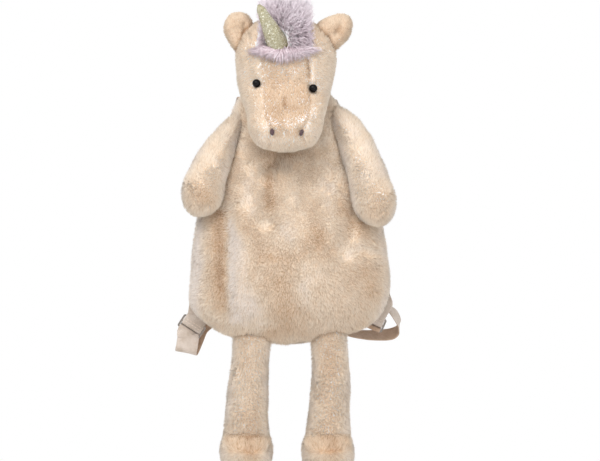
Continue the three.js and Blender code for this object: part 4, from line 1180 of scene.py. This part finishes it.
def nap_bag(p, n):
    v = np.tile(DOWN, (len(p), 1))
    v[:, 0] += 0.003 * p[:, 0]
    v[:, 2] += 1.6 * smooth(0.75, 1.0, np.abs(n[:, 2])) * (n[:, 2] > 0)
    v[:, 1] -= 1.2 * smooth(0.75, 1.0, n[:, 2])
    return v


def nap_head(p, n):
    v = np.tile(DOWN, (len(p), 1))
    v[:, 0] += 0.012 * (p[:, 0] + 4)
    v[:, 1] += 0.4 * smooth(0.3, 0.9, np.abs(n[:, 0]))
    return v


def nap_up(p, n):
    return np.tile(-DOWN, (len(p), 1)) + 0.25 * n


def nap_down(p, n):
    return np.tile(DOWN, (len(p), 1)) + 0.15 * np.array([0, -1, 0])


def tones(name, p, n):
    """The piece's own tone, with painted shade where it meets a neighbour."""
    t = TONE[name](p, n)
    for other in NEIGHBOURS[name]:
        amount = 0.42
        if name[:3] in ("leg", "foo") or other[:3] == "leg":
            amount = 0.14
        shade = amount * np.exp(-((clearance(TREES[other], p + n * 1.5, 9) / 3.2) ** 2))
        if "arm" in name + other:
            shade = shade * smooth(-66, -84, p[:, 2])
        t = t - shade
    return np.clip(t, 0.02, 1)


def open_pile(name, p, n):
    """False where the pile would grow into a neighbour, the zip or webbing."""
    keep = np.ones(len(p), bool)
    for other in NEIGHBOURS[name]:
        if {name[:3], other[:3]} == {"leg", "foo"}:
            continue
        keep &= clearance(TREES[other], p + n * 1.2, 6) > 0.3
    if name == "bag":
        zip_zone = (np.abs(p[:, 0] + 1.2) < ZIP_HALF - 1) & (np.abs(p[:, 2] - ZIP_Z) < 8.5) & (p[:, 1] > -22)
        keep &= ~zip_zone
        keep &= ~near_webbing(p, 6.5)
    if name == "head":
        keep &= mane_form.level(p, -9.0) > 1
        for ex, ez in EYES:
            keep &= ~((np.hypot(p[:, 0] - ex, p[:, 2] - ez) < EYE_R - 0.6) & (n[:, 1] < 0))
        for (nx, nz), w, h, _ in NOSTRILS:
            keep &= ~((np.hypot((p[:, 0] - nx) / w, (p[:, 2] - nz) / h) < 0.5) & (n[:, 1] < 0))
    return keep


def length_of(name, p, n, base):
    length = np.full(len(p), base)
    if name == "head":
        near = np.min([to_line(p[:, 0], p[:, 2], s) for s in FACE_SEAMS], axis=0)
        length *= np.where(n[:, 1] < 0, 0.7 + 0.3 * smooth(1, 5, near), 1)
        for ex, ez in EYES:
            length *= 0.62 + 0.38 * smooth(5, 12, np.hypot(p[:, 0] - ex, p[:, 2] - ez))
    return length


FUR = [
    # piece, name of its pile, tufts, length, width, lift, nap, part of the surface
    ("bag", "bag_pile_front", 47000, 5.5, 1.75, 52, nap_bag, lambda p, n: n[:, 1] < 0.15),
    ("bag", "bag_pile_back", 20000, 5.5, 2.5, 48, nap_bag, lambda p, n: n[:, 1] >= 0.15),
    ("head", "head_pile", 30000, 4.8, 1.55, 48, nap_head, None),
    ("ear_left", "ear_left_pile", 4600, 4.2, 1.5, 48, nap_up, None),
    ("ear_right", "ear_right_pile", 5600, 4.2, 1.5, 48, nap_up, None),
    ("arm_left", "arm_left_pile", 11500, 5.5, 1.75, 50, nap_down, None),
    ("arm_right", "arm_right_pile", 12500, 5.5, 1.75, 50, nap_down, None),
    ("leg_left", "leg_left_pile", 10500, 5.5, 1.75, 50, nap_down, None),
    ("leg_right", "leg_right_pile", 10500, 5.5, 1.75, 50, nap_down, None),
    ("foot_left", "foot_left_pile", 8500, 5.3, 1.7, 50, nap_down, None),
    ("foot_right", "foot_right_pile", 8500, 5.3, 1.7, 50, nap_down, None),
]
REPLACED = {"bag": "bag_shell"}
skins = {}
for name, soft in SOFT.items():
    me = soft["mesh"]
    p, n = points_of(me), normals_of(me)
    t = tones(name, p, n)
    paint(me, "pile", np.stack([np.full(len(p), 0.45), t, np.full(len(p), 0.5), np.ones(len(p))], 1))
    obj = add(name + "_skin", me, PLUSH, "root")
    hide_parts(REPLACED.get(name, name))
    skins[name] = obj
for k, (name, title, count, length, width, lift, nap, part) in enumerate(FUR):
    rng = np.random.default_rng(500 + k)
    weight = (lambda p, n, part=part: part(p, n).astype(float)) if part else None
    p, n = spread(skins[name].data, count, rng, weight)
    keep = open_pile(name, p, n)
    p, n = p[keep], n[keep]
    me = tufts(title, p, n, nap(p, n), length_of(name, p, n, length), width, lift, tones(name, p, n), rng)
    obj = add(title, me, PLUSH, "root")
    obj.parent = skins[name]


# ---------- horn ----------
verts, quads, tris = closed(horn_form.grid(60, 48))
n_h = np.vstack([unit(horn_form.grid(60, 48) - horn_form.grid(60, 48).mean(1, keepdims=True)).reshape(-1, 3), [[0, 0, -1.0], [0, 0, 1.0]]])
horn_points = verts - n_h * (0.35 + 0.35 * noise(verts, 5, 151) + 0.20 * noise(verts, 2.2, 152))[:, None]
horn = add("horn_skin", mesh_of("horn_skin", horn_points, quads, tris), HORN_GLITTER, "root")
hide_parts("horn")


# ---------- mane ----------
def strands(name, roots, paths, width, tone, rng, along=(0.0, 0.3, 0.6, 0.85, 1.0)):
    """Closed three-sided strands along paths of equal counts of points."""
    count, steps, _ = paths.shape
    t = unit(np.gradient(paths, axis=1))
    ref = unit(rng.normal(size=(count, 1, 3)) + 0 * t)
    across = unit(np.cross(t, ref))
    up = np.cross(t, across)
    taper = np.array([1.0, 0.92, 0.74, 0.45])[None, :, None] * width[:, None, None] / 2
    rings = []
    for a in (0, 2 * np.pi / 3, 4 * np.pi / 3):
        rings.append(paths[:, :-1] + taper * (np.cos(a) * across[:, :-1] + np.sin(a) * up[:, :-1]))
    rings = np.stack(rings, 2)  # strand, step, corner
    verts = np.concatenate([rings.reshape(count, -1, 3), paths[:, -1:]], 1)
    per = verts.shape[1]
    faces = []
    last = steps - 2
    for r in range(last):
        for k in range(3):
            a, b = r * 3 + k, r * 3 + (k + 1) % 3
            faces += [(a, b, b + 3), (a, b + 3, a + 3)]
    for k in range(3):
        faces.append((last * 3 + k, last * 3 + (k + 1) % 3, per - 1))
    faces.append((2, 1, 0))
    faces = np.array(faces)
    whole = (np.arange(count)[:, None, None] * per + faces[None]).reshape(-1, 3)
    me = mesh_of(name, verts.reshape(-1, 3), whole)
    colour = np.zeros((count, per, 4))
    colour[:, :, 0] = np.concatenate([np.repeat(along[:-1], 3), [along[-1]]])[None]
    colour[:, :, 1] = np.clip(tone, 0, 1)[:, None]
    colour[:, :, 2] = rng.random(count)[:, None]
    colour[:, :, 3] = 1
    paint(me, "pile", colour.reshape(-1, 4))
    return me


def push_out(p, form, grow):
    """Moves points inside a form of slices straight out to its surface."""
    (cx, _, _, _, ys), _ = form.rows(p[:, 2], grow)
    v = form.level(p, grow)[:, None]
    middle = np.stack([cx + form.shift, ys], 1)
    out = p.copy()
    out[:, :2] = np.where(v < 1, middle + (p[:, :2] - middle) / np.maximum(v, 0.3), p[:, :2])
    return out


core = with_modifier("mane_core", mesh_of("mane_core", *closed(mane_form.grid(40, 56, -11.0))), "REMESH", mode="VOXEL", voxel_size=2.5 * MM, adaptivity=0)
relax(core, 3)
p, n = points_of(core), normals_of(core)
p = p - n * (1.2 * noise(p, 12, 131))[:, None]
set_points(core, p)
core = without("mane_core", core, [SOFT["head"]["mesh"], SOFT["ear_left"]["mesh"], SOFT["ear_right"]["mesh"], horn.data], 0.3)
p, n = points_of(core), normals_of(core)
# the core's tone: painted shade beside the horn and low down, over a little noise
paint(core, "pile", np.stack([np.full(len(p), 0.1), 0.55 + 0.2 * noise(p, 9, 132) - 0.9 * np.exp(-((clearance(tree_of(horn.data), p, 14) / 7) ** 2)) - 0.35 * smooth(16, 8, p[:, 2]), np.full(len(p), 0.5), np.ones(len(p))], 1))
core_obj = add("mane_core", core, MANE_HAIR, "root")
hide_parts("mane")

rng = np.random.default_rng(77)
p, n = spread(core, 5000, rng, lambda p, n: 0.35 + (p[:, 2] > 5) * 1.0)
keep = (horn_form.level(p + n, 0.4) > 1) & (head_form.level(p + n * 3, -2.0) > 1)
p, n = p[keep], n[keep]
rise = smooth(14, 46, p[:, 2])[:, None]
outward = unit((p - np.array([-6.0, -66.0, 20.0])) * (1.0, 0.8, 0.6))
guide = outward * (0.55 + 0.2 * rise) + np.array([0, 0, 1.0]) * rise * 0.9 + np.array([0, 0, -1.0]) * (1 - rise) * 0.35
d = unit(n * 0.35 + guide + 0.30 * noise3(p, 13, 133) + 0.22 * rng.normal(size=p.shape))
reach = (15 + 6 * rise[:, 0] + 4 * rng.random(len(p)))
pull = clump_offset(p, 9, 340) * 0.45
line = [p - n * 1.0]
bend = 0.35 * noise3(p, 8, 136) + 0.25 * rng.normal(size=p.shape)
for step in range(1, 5):
    direction = unit(d + bend * step / 4 + np.array([0, 0, -0.10]) * step)
    line.append(line[-1] + direction * (reach / 4)[:, None] + pull * (0.12 * step))
paths = np.stack(line, 1)
for k in range(1, 5):  # strands stay over the head
    paths[:, k] = push_out(paths[:, k], head_form, 0.5 + 0.5 * k)
half = 38 + 12 * smooth(18, 8, paths[:, :, 2])
paths[:, :, 0] = -3 + half * np.tanh((paths[:, :, 0] + 3) / half * 1.12)
high = 68.5 + 5 * rng.random(len(p))
paths[:, :, 2] = np.minimum(paths[:, :, 2], high[:, None])
# the strands' tone: paler higher up, with painted shade round the horn's foot
tone = 0.5 + 0.20 * noise(p, 12, 139) + 0.34 * smooth(24, 60, p[:, 2]) - 0.25 * np.exp(-(((p[:, 0] + 11) / 18) ** 2) - ((p[:, 2] - 14) / 12) ** 2)
crown = add("mane_strands", strands("mane_strands", p, paths, 0.8 + 0.4 * rng.random(len(p)), tone, rng), MANE_HAIR, "root")
crown.parent = core_obj

# the fringe over the forehead: from round the horn's foot out to its lower edge
edge = np.array([(-47, 9), (-43, 5), (-36, 5), (-27, 0), (-17, -3.5), (-6.6, -7.5), (3, -3), (12, 0), (22, 4), (31, 7.5), (38, 10)], float)
count = 1300
u = (np.arange(count) + rng.random(count)) / count * (len(edge) - 1)
i = np.minimum(u.astype(int), len(edge) - 2)
end = edge[i] + (edge[i + 1] - edge[i]) * (u - i)[:, None] + rng.normal(size=(count, 2)) * (2.2, 2.0)
ray = (end[:, 0] + 7) / 45
start = np.stack([-7 + 13 * ray + rng.normal(size=count) * 2.5, 10.5 - 3 * np.abs(ray) + rng.normal(size=count) * 1.5], 1)
start[:, 1] = np.minimum(start[:, 1], 12)
end = start + (end - start) * (0.5 + 0.55 * rng.random(count) ** 0.6)[:, None]
s = np.linspace(0, 1, 5)[None, :, None]
flat = start[:, None] * (1 - s) + end[:, None] * s
flat = flat + np.array([0, 1.0]) * (np.sin(np.pi * s) * (2.0 + 3 * rng.random(count))[:, None, None])
flat[:, 1:, :] += rng.normal(size=(count, 4, 2)) * 0.5
stand = (2.0 + 4.0 * rng.random(count))[:, None] * np.array([0.6, 1.0, 1.1, 0.9, 0.5])[None]
y = head_form.front(flat[:, :, 0].ravel(), flat[:, :, 1].ravel(), 0.0).reshape(count, 5) - stand
paths = np.stack([flat[:, :, 0], y, flat[:, :, 1]], 2)
tone = 0.08 + 0.62 * rng.random(count) ** 1.6
fringe = add("mane_fringe", strands("mane_fringe", None, paths, 0.7 + 0.5 * rng.random(count), tone, rng), MANE_HAIR, "root")
fringe.parent = core_obj


# ---------- eyes and nostrils ----------
def face_frame(x, z, grow):
    """A point on the head's front and its outward direction."""
    x, z = float(x), float(z)

    def at(a, b):
        return np.array([a, float(head_form.front(np.array([a]), np.array([b]), grow)[0]), b])

    p, dx, dz = at(x, z), at(x + 1, z) - at(x - 1, z), at(x, z + 1) - at(x, z - 1)
    n = unit(np.cross(dz, dx))
    return p, (n if n[1] < 0 else -n)


def lathe(profile, segs):
    a = 2 * np.pi * np.arange(segs) / segs
    return np.stack([np.stack([r * np.cos(a), r * np.sin(a), np.full(segs, h)], 1) for r, h in profile], 0)


def placed(grid, origin, axis, turn=0.0):
    """Puts a form made along +Z so that +Z points along axis."""
    axis = unit(np.asarray(axis, float))
    side = unit(np.cross([0, 0, 1.0], axis))
    up = np.cross(axis, side)
    c, s = math.cos(turn), math.sin(turn)
    basis = np.stack([side * c + up * s, up * c - side * s, axis])
    return grid @ basis + origin


for name, (x, z) in zip(("eye_left", "eye_right"), EYES):
    origin, axis = face_frame(x, z, -PILE)
    origin = np.array([x, origin[1] - 0.8, z])
    profile = []
    for k in range(25):  # a domed bead with a small foot behind
        a = math.pi * (k + 0.5) / 25
        profile.append((EYE_R * math.sin(a) ** 0.96, -EYE_R * 0.86 * math.cos(a)))
    profile = [(1.1, -EYE_R * 0.86 - 1.6), (1.3, -EYE_R * 0.86 - 0.4)] + profile
    v, q, t = closed(placed(lathe(profile, 40), origin, (0, -1, 0)))
    eye = add(name + "_bead", mesh_of(name + "_bead", v, q, t), BEAD, "root")
    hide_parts(name)


def tube(points, radius, segs=8, closed_ends=True):
    """A round tube along points; radius may differ by point."""
    p = np.asarray(points, float)
    t = unit(np.gradient(p, axis=0))
    ref = np.array([0.31, 0.2, 0.93])
    across = unit(np.cross(t, ref))
    up = np.cross(t, across)
    r = np.broadcast_to(np.asarray(radius, float), len(p))[:, None, None]
    a = (2 * np.pi * np.arange(segs) / segs)[None, :, None]
    return p[:, None] + r * (np.cos(a) * across[:, None] + np.sin(a) * up[:, None])


def merged(name, parts):
    """One mesh from several closed skins."""
    verts, quads, tris, at = [], [], [], 0
    for v, q, t in parts:
        verts.append(v)
        quads.append(q + at)
        tris.append(t + at)
        at += len(v)
    return mesh_of(name, np.vstack(verts), np.vstack(quads), np.vstack(tris))


for name, ((x, z), w, h, lean) in zip(("nostril_left", "nostril_right"), NOSTRILS):
    parts = []
    origin, axis = face_frame(x, z, -1.2)
    for k in range(7):  # a patch of upright satin stitches
        off = (k - 3) / 3
        half = h / 2 * math.sqrt(max(1 - (off * 0.82) ** 2, 0.1))
        line = []
        for s in np.linspace(-1, 1, 9):
            a, b = off * w / 2, s * half
            px, pz = x + a * math.cos(lean) - b * math.sin(lean), z + a * math.sin(lean) + b * math.cos(lean)
            py = float(head_form.front(np.array([px]), np.array([pz]), -1.6)[0]) - 0.9 * (1 - s * s) - 0.5 * (1 - off * off)
            line.append((px, py, pz))
        parts.append(closed(tube(line, 0.42 * (1 - 0.35 * np.linspace(-1, 1, 9) ** 4), 6)))
    add(name, merged(name, parts), NOSE_THREAD, "root")

# ---------- webbing ----------
def webbing(name, p, a, width, thick=WEB_THICK, facing=1):
    """A flat strap with rounded edges and a light crown; the attribute carries its weave."""
    p, a, s = smooth_path(p, a, 1.1)
    for _ in range(2):  # the polyline's corners ease
        p[1:-1] = p[1:-1] * 0.5 + (p[:-2] + p[2:]) * 0.25
    t = unit(np.gradient(p, axis=0))
    a = unit(a - t * (a * t).sum(1, keepdims=True))
    up = np.cross(t, a)
    w, h = width / 2, thick / 2
    xs = np.array([-w + h, -w * 0.6, -w * 0.2, w * 0.2, w * 0.6, w - h])
    section = [(x, h * (1 - 0.10 * (x / w) ** 2)) for x in xs] + [(w - h * 0.25, h * 0.6), (w, 0.0), (w - h * 0.25, -h * 0.6)]
    section += [(x, -h * (1 - 0.10 * (x / w) ** 2)) for x in xs[::-1]] + [(-w + h * 0.25, -h * 0.6), (-w, 0.0), (-w + h * 0.25, h * 0.6)]
    section = np.array(section)
    wave = 0.10 * noise(p, 6, 161)
    grid = p[:, None] + a[:, None] * section[None, :, :1] + up[:, None] * (section[None, :, 1:] + wave[:, None, None])
    v, q, tr = closed(grid)
    me = mesh_of(name, v, q, tr)
    layer = me.attributes.new("weave", "FLOAT_VECTOR", "POINT")
    coords = np.zeros((len(v), 3))
    coords[:-2, 0] = np.repeat(s, len(section))
    coords[:-2, 1] = np.tile(section[:, 0] + w, len(p))
    # the face flag: 1 on the top and edges, 0 on the underside, which takes the painted shade
    coords[:-2, 2] = np.tile((section[:, 1] * facing > -0.1 * h) * 1000.0, len(p))
    coords[-2], coords[-1] = (s[0], w, 0), (s[-1], w, 0)
    layer.data.foreach_set("vector", (coords * MM).astype(np.float32).ravel())
    return me, (p, a, up, s)


def stitches(path, lines, length=2.6, gap=1.3, lift=WEB_THICK / 2, radius=0.26, side=1):
    """Short raised stitches along lines given as (along, across) on the webbing."""
    p, a, up, s = path
    parts = []
    for (u0, v0), (u1, v1) in lines:
        total = math.hypot(u1 - u0, v1 - v0)
        for k in range(max(int(total / (length + gap)), 1)):
            mid = (k + 0.5) * (length + gap) / total
            line = []
            for e in np.linspace(-0.5, 0.5, 6):
                f = mid + e * length / total
                u, v = u0 + (u1 - u0) * f, v0 + (v1 - v0) * f
                at = np.array([np.interp(u, s, p[:, i]) for i in range(3)])
                al = np.array([np.interp(u, s, a[:, i]) for i in range(3)])
                nu = np.array([np.interp(u, s, up[:, i]) for i in range(3)])
                line.append(at + al * v + nu * side * (lift + radius * 0.9 - 0.32 * (2 * e) ** 2))
            parts.append(closed(tube(line, radius, 6)))
    return parts


for name, (p, a, width) in PATHS.items():
    me, path = webbing(name + "_web", p, a, width)
    obj = add(name + "_web", me, WEBBING, "root")
    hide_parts(name)
    end = path[3][-1]
    w = width / 2 - 2.2
    if name == "hang_loop":
        lines = [((4, -w), (4, w)), ((8, -w), (8, w)), ((end - 4, -w), (end - 4, w)), ((end - 8, -w), (end - 8, w))]
    elif name.startswith("strap_slack"):
        lines = [((end - 4, -w), (end - 4, w)), ((end - 8, -w), (end - 8, w))]
    else:
        box = [(4, -w), (4, w), (22, w), (22, -w)]
        lines = list(zip(box, box[1:] + box[:1])) + [((4, -w), (22, w)), ((4, w), (22, -w))]
        lines += [((end - 19, -w), (end - 19, w)), ((end - 22, -w), (end - 22, w))]
    outer = 1 if (path[2][3][1] > 0) else -1
    sewn = merged(name + "_stitches", stitches(path, lines, side=outer))
    thread = add(name + "_stitches", sewn, THREAD, "root")
    thread.parent = obj

# ---------- zip ----------
def back_line(x, z, off):
    return bag_form.back(np.asarray(x, float), np.full(np.shape(x), float(z)), -PILE) + off


xs = np.linspace(-1.2 - ZIP_HALF, -1.2 + ZIP_HALF, 90)
parts = []
rows_z = np.linspace(ZIP_Z - 13, ZIP_Z + 13, 9)
ring = []
for x in xs:
    outer = [(x, float(back_line(np.array([x]), ZIP_Z, 1.7)[0]) - 0.4 * abs((z - ZIP_Z) / 13) ** 2, z) for z in rows_z]
    inner = [(x, float(back_line(np.array([x]), ZIP_Z, 0.8)[0]) - 0.4 * abs((z - ZIP_Z) / 13) ** 2, z) for z in rows_z[::-1]]
    ring.append(outer + inner)
v, q, t = closed(np.array(ring, float))
me = mesh_of("zip_tape", v, q, t)
layer = me.attributes.new("weave", "FLOAT_VECTOR", "POINT")
layer.data.foreach_set("vector", (v[:, [0, 2, 1]] * MM).astype(np.float32).ravel())
tape = add("zip_tape", me, TAPE, "root")
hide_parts("zip")

parts = []
for k, x in enumerate(np.arange(-1.2 - ZIP_HALF + 4, -1.2 + ZIP_HALF - 4, 1.5)):
    y = float(back_line(np.array([x]), ZIP_Z, 2.3)[0])
    for side_z in (-1, 1):
        shift = 0.75 if side_z > 0 else 0.0
        a = np.linspace(0, math.pi, 6)
        line = np.stack([np.full(6, x + shift), y + 0.7 * np.sin(a), ZIP_Z + side_z * (1.5 - 1.5 * np.cos(a) - 0.2)], 1)
        parts.append(closed(tube(line, 0.5, 6)))
teeth = add("zip_coil", merged("zip_coil", parts), COIL, "root")
teeth.parent = tape

pull_x = 44.0
pull_y = float(back_line(np.array([pull_x]), ZIP_Z, 0)[0])


def rounded_plate(w, h, thick, corner, hole=None):
    """Outline points of a plate with round corners, as rings from back to front with soft edges."""
    pts = []
    for cx, cz, a0 in ((w / 2 - corner, h / 2 - corner, 0), (-w / 2 + corner, h / 2 - corner, 90), (-w / 2 + corner, -h / 2 + corner, 180), (w / 2 - corner, -h / 2 + corner, 270)):
        for a in np.radians(np.linspace(a0, a0 + 90, 7)):
            pts.append((cx + corner * math.cos(a), cz + corner * math.sin(a)))
    pts = np.array(pts)
    soft = min(0.35, thick / 3)
    rings = []
    for shrink, y in ((soft, -thick / 2), (0.3 * soft, -thick / 2 + 0.3 * soft), (0, -thick / 2 + soft), (0, thick / 2 - soft), (0.3 * soft, thick / 2 - 0.3 * soft), (soft, thick / 2)):
        scale = np.array([(w / 2 - shrink) / (w / 2), (h / 2 - shrink) / (h / 2)])
        rings.append(np.stack([pts[:, 0] * scale[0], np.full(len(pts), y), pts[:, 1] * scale[1]], 1))
    return np.array(rings)


body_grid = rounded_plate(11, 9, 4, 2.2) + np.array([pull_x, pull_y + 3.4, ZIP_Z])
tab_grid = rounded_plate(7, 24, 1.5, 2.6) + np.array([pull_x, pull_y + 5.0, ZIP_Z - 14])
loop = tube([(pull_x + 2.4 * math.cos(a), pull_y + 5.0 + 1.0 * math.sin(a), ZIP_Z - 1.0 + 3.0 * math.sin(a)) for a in np.linspace(0, math.pi, 10)], 0.7, 8)
pull = add("zip_pull", merged("zip_pull", [closed(body_grid), closed(tab_grid), closed(loop)]), METAL, "root")
pull.parent = tape

# the sliders keep their CAD form, with eased edges
for side in ("left", "right"):
    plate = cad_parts[f"slider_{side}"]
    plate.data.materials.clear()
    plate.data.materials.append(METAL)
    bevel = plate.modifiers.new("eased", "BEVEL")
    bevel.width, bevel.segments, bevel.limit_method, bevel.angle_limit = 0.0004, 2, "ANGLE", math.radians(40)

# ---------- floor, light, camera ----------
mat, tree, shader = material("floor")
tree.links.new(ramp(tree, object_noise(tree, 0.5, 2.0), [(0.2, (243, 243, 243)), (0.8, (250, 250, 250))]), shader.inputs["Base Color"])
shader.inputs["Roughness"].default_value = 0.9
v, q, t = closed(np.array([[(r * math.cos(a), r * math.sin(a), h) for a in np.linspace(0, 2 * math.pi, 96, endpoint=False)] for r, h in ((3960, -564), (4000, -563), (4000, -561), (3960, -560))]))
floor = add("floor", mesh_of("floor", v, q, t), mat, None)
floor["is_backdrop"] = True

world = bpy.data.worlds.new("studio")
SCENE.world = world
world.use_nodes = True
world.node_tree.nodes["Background"].inputs["Color"].default_value = (1, 1, 1, 1)
world.node_tree.nodes["Background"].inputs["Strength"].default_value = 1.0


def softbox(name, place, size, power):
    light = bpy.data.lights.new(name, "AREA")
    light.shape, light.size, light.size_y, light.energy = "RECTANGLE", size[0], size[1], power
    obj = bpy.data.objects.new(name, light)
    obj.location = place
    obj.rotation_euler = (Vector((0, -0.06, -0.2)) - Vector(place)).to_track_quat("-Z", "Y").to_euler()
    SCENE.collection.objects.link(obj)


softbox("key", (-0.45, -1.7, 1.15), (1.3, 0.9), 28)
softbox("fill", (0.9, -2.0, 0.1), (1.0, 1.0), 7)

camera = bpy.data.cameras.new("camera")
camera.sensor_width = 36
camera.lens = 36 * 12 / 0.66
view = bpy.data.objects.new("camera", camera)
view.location = (0.0121, -0.06 - 12, -0.1876)
view.rotation_euler = (math.radians(90), 0, 0)
camera.clip_end = 60
SCENE.collection.objects.link(view)
SCENE.camera = view
SCENE.view_settings.view_transform = "Standard"
SCENE.view_settings.look = "None"

low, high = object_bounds()
